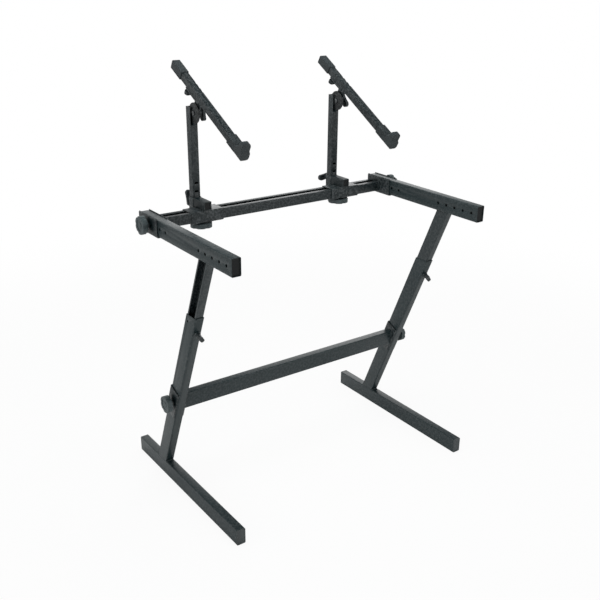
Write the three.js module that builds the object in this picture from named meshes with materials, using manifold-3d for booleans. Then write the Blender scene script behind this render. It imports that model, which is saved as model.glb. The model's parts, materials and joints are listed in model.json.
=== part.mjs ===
// Two-tier keyboard stand with Z-shaped sides.
// Two feet carry leaning legs that telescope, the legs carry the two arms of the lower tier,
// a slotted rail joins the arms at the back, and two posts clamped to it carry the tilting arms
// of the upper tier. Millimetres, +Z up, +Y to the rear, origin on the floor under the middle of the
// stand's overall box.

import * as THREE from 'three';
import { mergeVertices } from 'three/addons/utils/BufferGeometryUtils.js';
import Module from 'manifold-3d';

const wasm = await Module();
wasm.setup();

// Main tube of the feet, outer legs, lower arms and lower crossbar
const tubeWidth = 25.5;
const tubeDepth = 45;
const tubeWall = 1.5;
const tubeCorner = 3;

// Clearances and cutting overrun
const fit = 0.3;
const overrun = 10;

// Stance of the two sides
const legSpan = 773.4;
const footLength = 560;
const legSeat = 137;
const leanDegrees = 22.73;
const legRise = 523.8;

// Plastic end caps
const capLip = 3;
const capPlug = 12;
const capRecess = 2;

// Telescoping inner legs, open along their outer side, and the height that they are set to
const innerWall = 1.8;
const innerCorner = 2.5;
const innerSlackAcross = 0.35;
const innerSlackDeep = 0.7;
const innerLip = 6;
const innerOverlap = 318;
const tierRise = 686.8;
const glideLip = 6;
const glidePlug = 18;
const heightHole = 7;
const heightHolePitch = 40;
const heightHoleCount = 4;

// Height clamp on the front of each outer leg, and the rivet hole in its side
const legClampDrop = 42;
const legClampBoss = 16;
const legClampBossLength = 6;
const legKnobTurn = -50;
const rivetHole = 7;
const rivetDrop = 24;
const rivetSetBack = 9;

// Arms of the lower tier
const armLength = 457;
const armFrontReach = 134;
const armHole = 8;
const armHolePitch = 32;
const armHoleFirst = 22;
const armHoleCount = 5;
const armRearHoleCount = 4;
const armRearHoleFirst = 43;

// Folded steel brackets
const plate = 3;
const screwHoleSlack = 1;
const bracketBoss = 18;
const bracketBossLength = 3;

// Lower crossbar
const lowerBarRise = 227.5;
const lowerBracketLength = 92;
const lowerBracketInset = 1;

// Rear rail, a channel with its slot on top, and the brackets that hold it on the arms
const railDepth = 45;
const railHeight = 28;
const railWall = 2;
const railSlot = 17;
const railDrop = 14;
const railBracketLength = 100;
const railBracketRim = 2.7;
const railBracketOverhang = 2;
const railSetBack = 20.5;

// Clamps of the upper tier on the rail
const leftClampInset = 140.85;
const rightClampInset = 131.85;
const sleeveLength = 98;
const sleeveWall = 2;
const beamWidth = 22.5;
const beamHeight = 23.5;
const beamWall = 2.5;
const beamFront = 2.5;
const beamPlugRecess = 0.8;
const collarHeight = 48;
const collarWall = 2.1;
const collarRim = 24;
const collarGap = 4;
const clampBossLength = 2;
const railScrewShift = 7;

// Posts of the upper tier
const postWidth = 22;
const postWall = 1.8;
const postCorner = 1.5;
const postLength = 286;
const leftPostRaise = 2;
const rightPostRaise = -1.5;
const postScrewDrop = 12;
const postSlotWide = 11.5;
const postSlotHigh = 5.5;
const postSlotCorner = 2.5;
const postSlotPitch = 23;
const postSlotRise = 62;
const postSlotCount = 2;
const notchHeight = 46;

// Tilting hinge on top of each post: a fixed disc and a moving disc side by side
const hingeForward = 8;
const hingeDrop = 15;
const hingeDisc = 54;
const hingeDiscMoving = 42;
const hingePlate = 4;
const hingeBolt = 6;
const hingeBoltHead = 13;
const hingeBoltHeadLength = 3.2;
const leftTiltDegrees = 28.4;
const rightTiltDegrees = 30.4;
const boltBoreSlack = 0.8;

// Carrier under each upper arm, a short channel open at the bottom
const carrierFront = 14;
const carrierRear = 54;
const carrierWall = 2.5;
const carrierHeight = 6;
const neckWidth = 30;
const reachBoltPlace = 46;
const reachBolt = 6;
const reachBoltHead = 11;
const reachBoltHeadLength = 3;

// Upper arms, square tube with a slot below, a rubber grip and lip in front and a rubber boot behind
const reachWidth = 19.5;
const reachWall = 1.5;
const reachCorner = 1.5;
const reachSlot = 7;
const reachSlotLength = 130;
const reachRise = 44;
const reachFront = 212;
const reachRear = 137;
const leftReachForward = 0;
const rightReachForward = 17;
const gripLength = 37;
const gripWall = 1.8;
const lipWidth = 26;
const lipDepth = 35;
const lipBelow = 16;
const lipAbove = 34;
const lipStep = 5;
const lipCorner = 7;
const bootLength = 55;
const bootEnd = 4;

// Lobed knobs with a moulded-in screw
const bracketKnob = 48;
const bracketKnobThick = 14;
const railKnob = 60;
const railKnobThick = 12.5;
const knobHub = 22;
const knobHubLength = 6;
const railKnobHubLength = 1.5;
const knobScrew = 8;
const knobLobes = 6;
const knobLobeShare = 0.12;
const knobBevel = 2;

// Wing knobs
const postKnob = 46;
const postKnobWide = 17;
const postKnobThick = 10;
const postKnobHubLength = 10;
const tiltKnob = 44;
const tiltKnobWide = 18;
const smallKnob = 27;
const smallKnobWide = 11;
const smallKnobThick = 9;
const smallKnobHub = 12;
const smallKnobHubLength = 8;
const reachKnobHubLength = 5;
const reachKnobWide = 18;
const smallScrew = 6;
const leftPostKnobTurn = 83;
const rightPostKnobTurn = -9;
const leftTiltKnobTurn = 0;
const rightTiltKnobTurn = -40;
const tiltKnobNose = 9;

// Least inside corner of a tube, as a share of its wall
const insideCornerShare = 0.2;

// Shares that draw the front lip: its waist, the reach of its round parts and the lean of its back
const lipWaistShare = 0.3;
const lipRoundShare = 0.45;
const lipBackShare = 0.4;

// Facets
const cornerSteps = 2;
const discSteps = 28;
const holeSteps = 8;
const hubSteps = 14;
const lobeSteps = 5;
const wingSteps = 4;

// Materials
const steelLook = { color: 0x24292b, roughness: 0.5, metalness: 0.35 };
const plasticLook = { color: 0x15181a, roughness: 0.55, metalness: 0 };
const rubberLook = { color: 0x121415, roughness: 0.85, metalness: 0 };
const boltLook = { color: 0x9a9fa2, roughness: 0.35, metalness: 0.9 };

// Places worked out from the driving dimensions
const lean = THREE.MathUtils.degToRad(leanDegrees);
const footTop = tubeDepth;
const armBottom = footTop + tierRise;
const armMiddle = armBottom + tubeDepth / 2;
const armTop = armBottom + tubeDepth;
const innerMeet = legSeat - tierRise * Math.tan(lean);
const armFront = innerMeet - armFrontReach;
const armRear = armFront + armLength;
const railBracketMiddle = armRear + railBracketOverhang - railBracketLength / 2;
const railMiddle = railBracketMiddle + railSetBack;
const railBottom = armTop - railDrop - railHeight;
const railTop = railBottom + railHeight;
const plateOut = tubeWidth / 2 + fit + plate;
const barEnd = legSpan / 2 - plateOut - fit;
const innerWidth = tubeWidth - 2 * tubeWall - 2 * innerSlackAcross;
const innerDepth = tubeDepth - 2 * tubeWall - 2 * innerSlackDeep;
const sleeveDepth = railDepth + 2 * (fit + sleeveWall);
const sleeveHeight = railHeight + 2 * (fit + sleeveWall);
const sleeveTop = railTop + fit + sleeveWall;
const sleeveBottom = railBottom - fit - sleeveWall;
const sleeveRear = railMiddle + sleeveDepth / 2;
const collarWidth = postWidth + 2 * (fit + collarWall);
const postMiddle = sleeveRear + collarGap + collarWidth / 2;
const collarTop = sleeveTop + collarRim;
const collarBottom = collarTop - collarHeight;
const hingeGap = fit / 2;
const boxMiddle = (Math.min(armFront, -footLength / 2) + footLength / 2) / 2;

const stand = new THREE.Group();
const built = new THREE.Group();
built.position.y = -boxMiddle;
stand.add(built);

function solidOf(geometry) {
  const bare = geometry.clone();
  bare.deleteAttribute('normal');
  bare.deleteAttribute('uv');
  const merged = mergeVertices(bare);
  const vertProperties = new Float32Array(merged.attributes.position.array);
  const triVerts = new Uint32Array(merged.index.array);
  return new wasm.Manifold(new wasm.Mesh({ numProp: 3, vertProperties, triVerts }));
}

function geometryOf(solid) {
  const mesh = solid.getMesh();
  const geometry = new THREE.BufferGeometry();
  geometry.setAttribute('position', new THREE.BufferAttribute(new Float32Array(mesh.vertProperties), 3));
  geometry.setIndex(new THREE.BufferAttribute(new Uint32Array(mesh.triVerts), 1));
  geometry.computeVertexNormals();
  return geometry;
}

function cut(geometry, ...tools) {
  let solid = solidOf(geometry);
  for (const tool of tools) solid = solid.subtract(solidOf(tool));
  return geometryOf(solid);
}

function join(geometry, ...others) {
  let solid = solidOf(geometry);
  for (const other of others) solid = solid.add(solidOf(other));
  return geometryOf(solid);
}

function common(geometry, other) {
  return geometryOf(solidOf(geometry).intersect(solidOf(other)));
}

function add(name, geometry, look, parent = built) {
  const mesh = new THREE.Mesh(geometry, new THREE.MeshStandardMaterial(look));
  mesh.name = name;
  parent.add(mesh);
  return mesh;
}

// Outlines are drawn around the origin
function roundedOutline(path, width, height, radius) {
  const x = width / 2;
  const y = height / 2;
  const quarter = Math.PI / 2;
  path.moveTo(x, -y + radius);
  path.lineTo(x, y - radius);
  path.absarc(x - radius, y - radius, radius, 0, quarter, false);
  path.lineTo(-x + radius, y);
  path.absarc(-x + radius, y - radius, radius, quarter, 2 * quarter, false);
  path.lineTo(-x, -y + radius);
  path.absarc(-x + radius, -y + radius, radius, 2 * quarter, 3 * quarter, false);
  path.lineTo(x - radius, -y);
  path.absarc(x - radius, -y + radius, radius, 3 * quarter, 4 * quarter, false);
  return path;
}

function tubeOutline(width, height, wall, corner) {
  const shape = roundedOutline(new THREE.Shape(), width, height, corner);
  const inside = Math.max(corner - wall, wall * insideCornerShare);
  shape.holes.push(roundedOutline(new THREE.Path(), width - 2 * wall, height - 2 * wall, inside));
  return shape;
}

function outline(points) {
  return new THREE.Shape(points.map(([x, y]) => new THREE.Vector2(x, y)));
}

// A folded plate: web at the bottom of the outline, open at the top, origin on the web's inner face
function channelOutline(inside, height, web, flange) {
  const x = inside / 2;
  return outline([
    [-x - flange, -web], [x + flange, -web], [x + flange, height], [x, height],
    [x, 0], [-x, 0], [-x, height], [-x - flange, height],
  ]);
}

// A channel with turned-in lips and its slot on top, around its own middle
function slottedOutline(width, height, wall, slot) {
  const x = width / 2;
  const y = height / 2;
  const s = slot / 2;
  return outline([
    [-x, -y], [x, -y], [x, y], [s, y], [s, y - wall], [x - wall, y - wall], [x - wall, -y + wall],
    [-x + wall, -y + wall], [-x + wall, y - wall], [-s, y - wall], [-s, y], [-x, y],
  ]);
}

// Extrusions are centred on the origin and run along Z, X or Y
function alongZ(shape, length, steps = cornerSteps) {
  const run = { depth: length, bevelEnabled: false, curveSegments: steps };
  const geometry = new THREE.ExtrudeGeometry(shape, run);
  return geometry.translate(0, 0, -length / 2);
}

// Along X the outline's own axes become Y and Z
function alongX(shape, length, steps = cornerSteps) {
  const turn = new THREE.Matrix4().makeBasis(
    new THREE.Vector3(0, 1, 0), new THREE.Vector3(0, 0, 1), new THREE.Vector3(1, 0, 0));
  return alongZ(shape, length, steps).applyMatrix4(turn);
}

// Along Y the outline's own axes become X and Z
function alongY(shape, length, steps = cornerSteps) {
  return alongZ(shape, length, steps).rotateX(Math.PI / 2);
}

function block(x, y, z) {
  return new THREE.BoxGeometry(x, y, z);
}

// Cylinders are centred on the origin
function rodZ(diameter, length, steps = holeSteps) {
  return new THREE.CylinderGeometry(diameter / 2, diameter / 2, length, steps).rotateX(Math.PI / 2);
}

function rodX(diameter, length, steps = holeSteps) {
  return new THREE.CylinderGeometry(diameter / 2, diameter / 2, length, steps).rotateZ(Math.PI / 2);
}

function rodY(diameter, length, steps = holeSteps) {
  return new THREE.CylinderGeometry(diameter / 2, diameter / 2, length, steps);
}

// Knobs stand on their seat at z = 0 with the head above and the screw reaching down
function lobedOutline(diameter) {
  const points = [];
  const steps = knobLobes * lobeSteps;
  for (let i = 0; i < steps; i += 1) {
    const angle = (i / steps) * 2 * Math.PI;
    const dip = knobLobeShare * (0.5 - 0.5 * Math.cos(knobLobes * angle));
    const radius = (diameter / 2 - knobBevel) * (1 - dip);
    points.push([radius * Math.cos(angle), radius * Math.sin(angle)]);
  }
  return outline(points);
}

function lobedKnob(diameter, thick, hubBelow, screwReach) {
  const head = new THREE.ExtrudeGeometry(lobedOutline(diameter), {
    depth: thick - 2 * knobBevel, bevelThickness: knobBevel, bevelSize: knobBevel, bevelSegments: 1,
  });
  head.translate(0, 0, fit + hubBelow + knobBevel);
  const hubLength = hubBelow + thick / 2;
  const hub = rodZ(knobHub, hubLength, hubSteps).translate(0, 0, fit + hubLength / 2);
  const screwLength = screwReach + fit + thick / 2;
  const screw = rodZ(knobScrew, screwLength).translate(0, 0, screwLength / 2 - screwReach);
  return join(head, hub, screw);
}

// Two wings, long way along X, with a round middle where that is wider than they are
function wingOutline(length, width, middle) {
  const shape = new THREE.Shape();
  const tip = width / 2;
  const reach = length / 2 - tip;
  const waist = Math.asin(Math.min(tip / middle, 1));
  const half = Math.PI;
  const bulge = width < middle;
  shape.absarc(reach, 0, tip, -half / 2, half / 2, false);
  if (bulge) shape.absarc(0, 0, middle / 2 + tip / 2, waist, half - waist, false);
  shape.absarc(-reach, 0, tip, half / 2, half + half / 2, false);
  if (bulge) shape.absarc(0, 0, middle / 2 + tip / 2, half + waist, 2 * half - waist, false);
  shape.closePath();
  return shape;
}

function wingHead(length, width, thick, hub, hubLength) {
  const head = alongZ(wingOutline(length, width, hub), thick, wingSteps);
  head.translate(0, 0, fit + hubLength + thick / 2);
  const stem = hubLength + thick / 2;
  return join(head, rodZ(hub, stem, hubSteps).translate(0, 0, fit + stem / 2));
}

function wingScrew(length, width, thick, hubLength, screwReach) {
  const screwLength = screwReach + fit + hubLength / 2;
  const screw = rodZ(smallScrew, screwLength).translate(0, 0, screwLength / 2 - screwReach);
  return join(wingHead(length, width, thick, smallKnobHub, hubLength), screw);
}

// A cap with its lip outside the tube end, or wholly inside it, facing +Z
function endCap(width, height, wall, corner, lip) {
  const plugWidth = width - 2 * (wall + fit);
  const plugHeight = height - 2 * (wall + fit);
  const plugCorner = Math.max(corner - wall, wall / 2);
  const plug = alongZ(roundedOutline(new THREE.Shape(), plugWidth, plugHeight, plugCorner), capPlug);
  plug.translate(0, 0, -capPlug / 2);
  if (lip === 0) return plug;
  const face = alongZ(roundedOutline(new THREE.Shape(), width, height, corner), lip - fit);
  face.translate(0, 0, fit + (lip - fit) / 2);
  return join(face, plug.translate(0, 0, 2 * fit));
}

// The two sides differ only in their sign along X
const sides = [
  { name: 'left', x: -legSpan / 2, out: -1 },
  { name: 'right', x: legSpan / 2, out: 1 },
];

// Turns a knob's +Z towards the outside of its side
function faceOut(mesh, out) {
  mesh.rotation.y = (out * Math.PI) / 2;
}

// Feet
function makeFoot(side) {
  const tubeLength = footLength - 2 * capLip;
  const foot = alongY(tubeOutline(tubeWidth, tubeDepth, tubeWall, tubeCorner), tubeLength);
  add(`${side.name}_foot`, foot, steelLook).position.set(side.x, 0, tubeDepth / 2);
  for (const end of [{ name: 'front', way: -1 }, { name: 'rear', way: 1 }]) {
    const cap = endCap(tubeWidth, tubeDepth, tubeWall, tubeCorner, capLip);
    const mesh = add(`${side.name}_foot_${end.name}_cap`, cap, plasticLook);
    mesh.rotation.x = (-end.way * Math.PI) / 2;
    mesh.position.set(side.x, (end.way * tubeLength) / 2, tubeDepth / 2);
  }
}

// A tube that follows the leg's line between two level heights above the foot
function leaningTube(shape, low, high) {
  const middle = (low + high) / 2;
  const length = (high - low) / Math.cos(lean) + 2 * tubeDepth;
  const tube = alongZ(shape, length).rotateX(lean).translate(0, -middle * Math.tan(lean), middle);
  const reach = 4 * tubeDepth + high - low;
  return common(tube, block(reach, reach, high - low).translate(0, -middle * Math.tan(lean), middle));
}

// Moves a piece drawn along the leg, with Z up the leg and Y across its depth, onto the leg
function onLeg(geometry, along) {
  return geometry.translate(0, 0, along).rotateX(lean);
}

const legLength = legRise / Math.cos(lean);
const legClampPlace = legLength - legClampDrop;

function makeOuterLeg(side) {
  const tube = leaningTube(tubeOutline(tubeWidth, tubeDepth, tubeWall, tubeCorner), fit, legRise);
  const bossLength = legClampBossLength + tubeWall / 2;
  const bossMiddle = -tubeDepth / 2 - legClampBossLength + bossLength / 2;
  const boss = onLeg(rodY(legClampBoss, bossLength, hubSteps).translate(0, bossMiddle, 0), legClampPlace);
  const boreLength = 2 * legClampBossLength + tubeWall;
  const bore = rodY(smallScrew + screwHoleSlack, boreLength).translate(0, -tubeDepth / 2 - tubeWall / 2, 0);
  const rivet = rodX(rivetHole, tubeWidth / 2).translate((side.out * tubeWidth) / 2, rivetSetBack, 0);
  const leg = cut(join(tube, boss), onLeg(bore, legClampPlace), onLeg(rivet, legLength - rivetDrop));
  add(`${side.name}_leg`, leg, steelLook).position.set(side.x, legSeat, footTop);
}

function makeLegKnob(side) {
  const seat = tubeDepth / 2 + legClampBossLength;
  const reach = seat - innerDepth / 2 - fit;
  const knob = wingScrew(smallKnob, smallKnobWide, smallKnobThick, smallKnobHubLength, reach);
  knob.rotateZ(THREE.MathUtils.degToRad(legKnobTurn)).rotateX(Math.PI / 2).translate(0, -seat, 0);
  const mesh = add(`${side.name}_leg_knob`, onLeg(knob, legClampPlace), plasticLook);
  mesh.position.set(side.x, legSeat, footTop);
}

// Inner legs, open along the outer side between two lips, with their row of height holes in front,
// and the plastic glides at their lower ends
const innerLow = legRise - innerOverlap;

function makeInnerLeg(side) {
  const outlineOfTube = tubeOutline(innerWidth, innerDepth, innerWall, innerCorner);
  const tube = leaningTube(outlineOfTube, innerLow, tierRise - fit);
  const mouth = block(innerWidth - 2 * innerWall, innerDepth - 2 * innerLip, 4 * tierRise);
  mouth.translate((side.out * innerWidth) / 2, 0, 0);
  const holes = [onLeg(mouth, 0)];
  for (let i = 0; i < heightHoleCount; i += 1) {
    const along = legClampPlace - (i + 1) * heightHolePitch;
    holes.push(onLeg(rodY(heightHole, innerDepth / 2).translate(0, -innerDepth / 2, 0), along));
  }
  add(`${side.name}_inner_leg`, cut(tube, ...holes), steelLook).position.set(side.x, legSeat, footTop);

  const glideShape = roundedOutline(new THREE.Shape(), innerWidth, innerDepth, innerCorner);
  const plugWidth = innerWidth - 2 * (innerWall + fit);
  const plugDepth = innerDepth - 2 * (innerWall + fit);
  const plugShape = roundedOutline(new THREE.Shape(), plugWidth, plugDepth, innerWall);
  const lip = leaningTube(glideShape, innerLow - fit - glideLip, innerLow - fit);
  const plug = leaningTube(plugShape, innerLow - glideLip, innerLow + glidePlug);
  const glide = add(`${side.name}_inner_leg_glide`, join(lip, plug), plasticLook);
  glide.position.set(side.x, legSeat, footTop);
}

// Arms of the lower tier, with accessory holes near the front and clamping holes at the rear
function makeArm(side) {
  const tube = alongY(tubeOutline(tubeWidth, tubeDepth, tubeWall, tubeCorner), armLength);
  const holes = [];
  for (let i = 0; i < armHoleCount; i += 1) {
    holes.push(-armLength / 2 + armHoleFirst + i * armHolePitch);
  }
  for (let i = 0; i < armRearHoleCount; i += 1) {
    holes.push(armLength / 2 - armRearHoleFirst - i * armHolePitch);
  }
  const drills = holes.map((y) => rodX(armHole, tubeWidth + overrun).translate(0, y, 0));
  const arm = add(`${side.name}_arm`, cut(tube, ...drills), steelLook);
  arm.position.set(side.x, armFront + armLength / 2, armMiddle);

  for (const end of [{ name: 'front', y: armFront, way: -1 }, { name: 'rear', y: armRear, way: 1 }]) {
    const cap = endCap(tubeWidth, tubeDepth, tubeWall, tubeCorner, 0);
    const mesh = add(`${side.name}_arm_${end.name}_cap`, cap, plasticLook);
    mesh.rotation.x = (-end.way * Math.PI) / 2;
    mesh.position.set(side.x, end.y - end.way * capRecess, armMiddle);
  }
}

// Lower crossbar: an upright tube between two brackets that wrap the outer legs from behind
const lowerBarPlace = legSeat - lowerBarRise * Math.tan(lean);
const lowerBarHeight = footTop + lowerBarRise;
const plateOutside = plateOut + bracketBossLength;
const bracketScrewReach = bracketBossLength + plate;

function makeLowerBar() {
  const tube = alongX(tubeOutline(tubeWidth, tubeDepth, tubeWall, tubeCorner), 2 * barEnd);
  add('lower_crossbar', tube, steelLook).position.set(0, lowerBarPlace, lowerBarHeight);
  for (const side of sides) {
    const shape = channelOutline(tubeWidth + 2 * fit, tubeDepth + fit - lowerBracketInset, plate, plate);
    const fold = alongY(shape, lowerBracketLength).rotateX(-Math.PI / 2).rotateZ(Math.PI);
    fold.rotateY(Math.PI).translate(0, tubeDepth / 2 + fit, 0);
    const bossMiddle = side.out * (plateOut + bracketBossLength / 2);
    const boss = rodX(bracketBoss, bracketBossLength + fit, hubSteps).translate(bossMiddle, 0, 0);
    const bore = rodX(knobScrew + screwHoleSlack, 2 * (plate + bracketBossLength));
    bore.translate(side.out * plateOut, 0, 0);
    const bracket = cut(join(fold, boss), bore).rotateX(lean);
    const mesh = add(`${side.name}_lower_bracket`, bracket, steelLook);
    mesh.position.set(side.x, lowerBarPlace, lowerBarHeight);

    const knob = lobedKnob(bracketKnob, bracketKnobThick, knobHubLength, bracketScrewReach);
    const knobMesh = add(`${side.name}_lower_knob`, knob, plasticLook);
    faceOut(knobMesh, side.out);
    knobMesh.position.set(side.x + side.out * plateOutside, lowerBarPlace, lowerBarHeight);
  }
}

// Rear rail and its brackets, which hold the arms from below
function makeRail() {
  const rail = alongX(slottedOutline(railDepth, railHeight, railWall, railSlot), 2 * barEnd);
  add('rear_rail', rail, steelLook).position.set(0, railMiddle, (railBottom + railTop) / 2);
  for (const side of sides) {
    const shape = channelOutline(tubeWidth + 2 * fit, tubeDepth + fit + railBracketRim, plate, plate);
    const fold = alongY(shape, railBracketLength).translate(0, 0, -tubeDepth / 2 - fit);
    const bossMiddle = side.out * (plateOut + bracketBossLength / 2);
    const boss = rodX(bracketBoss, bracketBossLength + fit, hubSteps).translate(bossMiddle, 0, 0);
    const bore = rodX(knobScrew + screwHoleSlack, 2 * (plate + bracketBossLength));
    bore.translate(side.out * plateOut, 0, 0);
    const mesh = add(`${side.name}_rail_bracket`, cut(join(fold, boss), bore), steelLook);
    mesh.position.set(side.x, railBracketMiddle, armMiddle);

    const knob = lobedKnob(bracketKnob, bracketKnobThick, knobHubLength, bracketScrewReach);
    const knobMesh = add(`${side.name}_rail_knob`, knob, plasticLook);
    faceOut(knobMesh, side.out);
    knobMesh.position.set(side.x + side.out * plateOutside, railBracketMiddle, armMiddle);
  }
}

// Clamp of the upper tier: a sleeve round the rail, a short beam on it and a collar behind it
function makeClamp(tower) {
  const group = new THREE.Group();
  group.position.x = tower.x;
  built.add(group);

  const sleeve = alongX(tubeOutline(sleeveDepth, sleeveHeight, sleeveWall, sleeveWall), sleeveLength);
  sleeve.translate(0, railMiddle, (railBottom + railTop) / 2);
  const bossBottom = sleeveBottom - clampBossLength;
  const boss = rodZ(bracketBoss, clampBossLength + sleeveWall / 2, hubSteps);
  boss.translate(-railScrewShift, railMiddle, bossBottom + (clampBossLength + sleeveWall / 2) / 2);
  const bore = rodZ(knobScrew + screwHoleSlack, 2 * (clampBossLength + sleeveWall));
  bore.translate(-railScrewShift, railMiddle, sleeveBottom);
  add(`${tower.name}_clamp_sleeve`, cut(join(sleeve, boss), bore), steelLook, group);

  const knob = lobedKnob(railKnob, railKnobThick, railKnobHubLength, clampBossLength + sleeveWall);
  const knobMesh = add(`${tower.name}_clamp_knob`, knob, plasticLook, group);
  knobMesh.rotation.x = Math.PI;
  knobMesh.position.set(-railScrewShift, railMiddle, bossBottom);

  const beamStart = railMiddle - sleeveDepth / 2 - beamFront;
  const beamEnd = postMiddle - collarWidth / 2 + collarWall / 2;
  const beamMiddle = sleeveTop + fit + beamHeight / 2;
  const beam = alongY(tubeOutline(beamWidth, beamHeight, beamWall, postCorner), beamEnd - beamStart);
  beam.translate(0, (beamStart + beamEnd) / 2, beamMiddle);
  const plugShape = endCap(beamWidth, beamHeight, beamWall, postCorner, 0);
  const plug = add(`${tower.name}_beam_plug`, plugShape, plasticLook, group);
  plug.rotation.x = Math.PI / 2;
  plug.position.set(0, beamStart + beamPlugRecess, beamMiddle);
  const collarShape = tubeOutline(collarWidth, collarWidth, collarWall, postCorner + collarWall);
  const collar = alongZ(collarShape, collarHeight);
  collar.translate(0, postMiddle, (collarTop + collarBottom) / 2);
  const postBoss = rodY(smallKnobHub, legClampBossLength + collarWall / 2, hubSteps);
  const bossStart = postMiddle + collarWidth / 2 - collarWall / 2;
  const screwHeight = collarTop - postScrewDrop;
  postBoss.translate(0, bossStart + (legClampBossLength + collarWall / 2) / 2, screwHeight);
  const way = postWidth + 2 * fit;
  const postWay = block(way, way, 2 * collarHeight);
  postWay.translate(0, postMiddle, (collarTop + collarBottom) / 2);
  const screwWay = rodY(smallScrew + screwHoleSlack, 2 * (legClampBossLength + collarWall));
  screwWay.translate(0, postMiddle + collarWidth / 2, screwHeight);
  const socket = cut(join(collar, beam, postBoss), postWay, screwWay);
  add(`${tower.name}_post_socket`, socket, steelLook, group);

  const screwReach = legClampBossLength + collarWall;
  const wing = wingScrew(postKnob, postKnobWide, postKnobThick, postKnobHubLength, screwReach);
  const wingMesh = add(`${tower.name}_post_knob`, wing.rotateZ(tower.wingTurn), plasticLook, group);
  wingMesh.rotation.x = -Math.PI / 2;
  wingMesh.position.set(0, postMiddle + collarWidth / 2 + legClampBossLength, screwHeight);
}

// Post: a square tube, notched in front at its top for the two hinge discs
function makePost(tower, group) {
  const shape = tubeOutline(postWidth, postWidth, postWall, postCorner);
  const tube = alongZ(shape, postLength).translate(0, 0, postLength / 2);
  const notchWidth = postWidth - 2 * postWall;
  const notch = block(notchWidth, 2 * postWall, notchHeight + overrun);
  notch.translate(0, -postWidth / 2, postLength + (overrun - notchHeight) / 2);
  const tools = [notch];
  const slot = roundedOutline(new THREE.Shape(), postSlotWide, postSlotHigh, postSlotCorner);
  for (let i = 0; i < postSlotCount; i += 1) {
    const rise = postSlotRise + i * postSlotPitch;
    tools.push(alongY(slot, postWidth / 2).translate(0, -postWidth / 2, rise));
  }
  const pivotY = -postWidth / 2 - hingeForward;
  const pivotZ = postLength - hingeDrop;
  const discMiddle = -hingeGap - hingePlate / 2;
  const disc = rodX(hingeDisc, hingePlate, discSteps).translate(discMiddle, pivotY, pivotZ);
  const rearWall = postWidth / 2 - postWall / 2;
  const web = block(hingePlate, rearWall - pivotY, hingeDiscMoving);
  web.translate(discMiddle, (rearWall + pivotY) / 2, postLength - notchHeight / 2 - hingePlate);
  const above = block(postWidth, 2 * postWidth, hingeDisc).translate(0, 0, postLength + hingeDisc / 2);
  const bore = rodX(hingeBolt + boltBoreSlack, 2 * postWidth).translate(0, pivotY, pivotZ);
  const fixedDisc = join(disc, cut(web, above));
  add(`${tower.name}_post`, cut(join(cut(tube, ...tools), fixedDisc), bore), steelLook, group);

  const headEnd = -hingeGap - hingePlate - fit;
  const shankEnd = postWidth / 2 + smallKnobHubLength;
  const shank = rodX(hingeBolt, shankEnd - headEnd + hingeBoltHeadLength / 2);
  shank.translate((shankEnd + headEnd - hingeBoltHeadLength / 2) / 2, 0, 0);
  const head = rodX(hingeBoltHead, hingeBoltHeadLength, hubSteps);
  head.translate(headEnd - hingeBoltHeadLength / 2, 0, 0);
  const bolt = add(`${tower.name}_hinge_bolt`, join(head, shank), boltLook, group);
  bolt.position.set(0, pivotY, pivotZ);
  return { y: pivotY, z: pivotZ };
}

// Tilt lock: a wing nut outside the post, its nose running in to the moving disc
function makeTiltKnob(tower, group, pivot) {
  const seat = postWidth / 2;
  const noseStart = hingeGap + hingePlate + fit;
  const nose = rodZ(tiltKnobNose, seat + 2 * fit - noseStart, hubSteps);
  nose.translate(0, 0, (seat + 2 * fit + noseStart) / 2 - seat);
  const head = wingHead(tiltKnob, tiltKnobWide, smallKnobThick, smallKnobHub, smallKnobHubLength);
  const boreEnd = smallKnobHubLength + fit;
  const boreStart = -seat - overrun;
  const bore = rodZ(hingeBolt + boltBoreSlack, boreEnd - boreStart);
  bore.translate(0, 0, (boreEnd + boreStart) / 2);
  const knob = cut(join(head, nose), bore).rotateZ(tower.tiltWingTurn);
  const mesh = add(`${tower.name}_tilt_knob`, knob, plasticLook, group);
  mesh.rotation.y = Math.PI / 2;
  mesh.position.set(seat, pivot.y, pivot.z);
}

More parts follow.
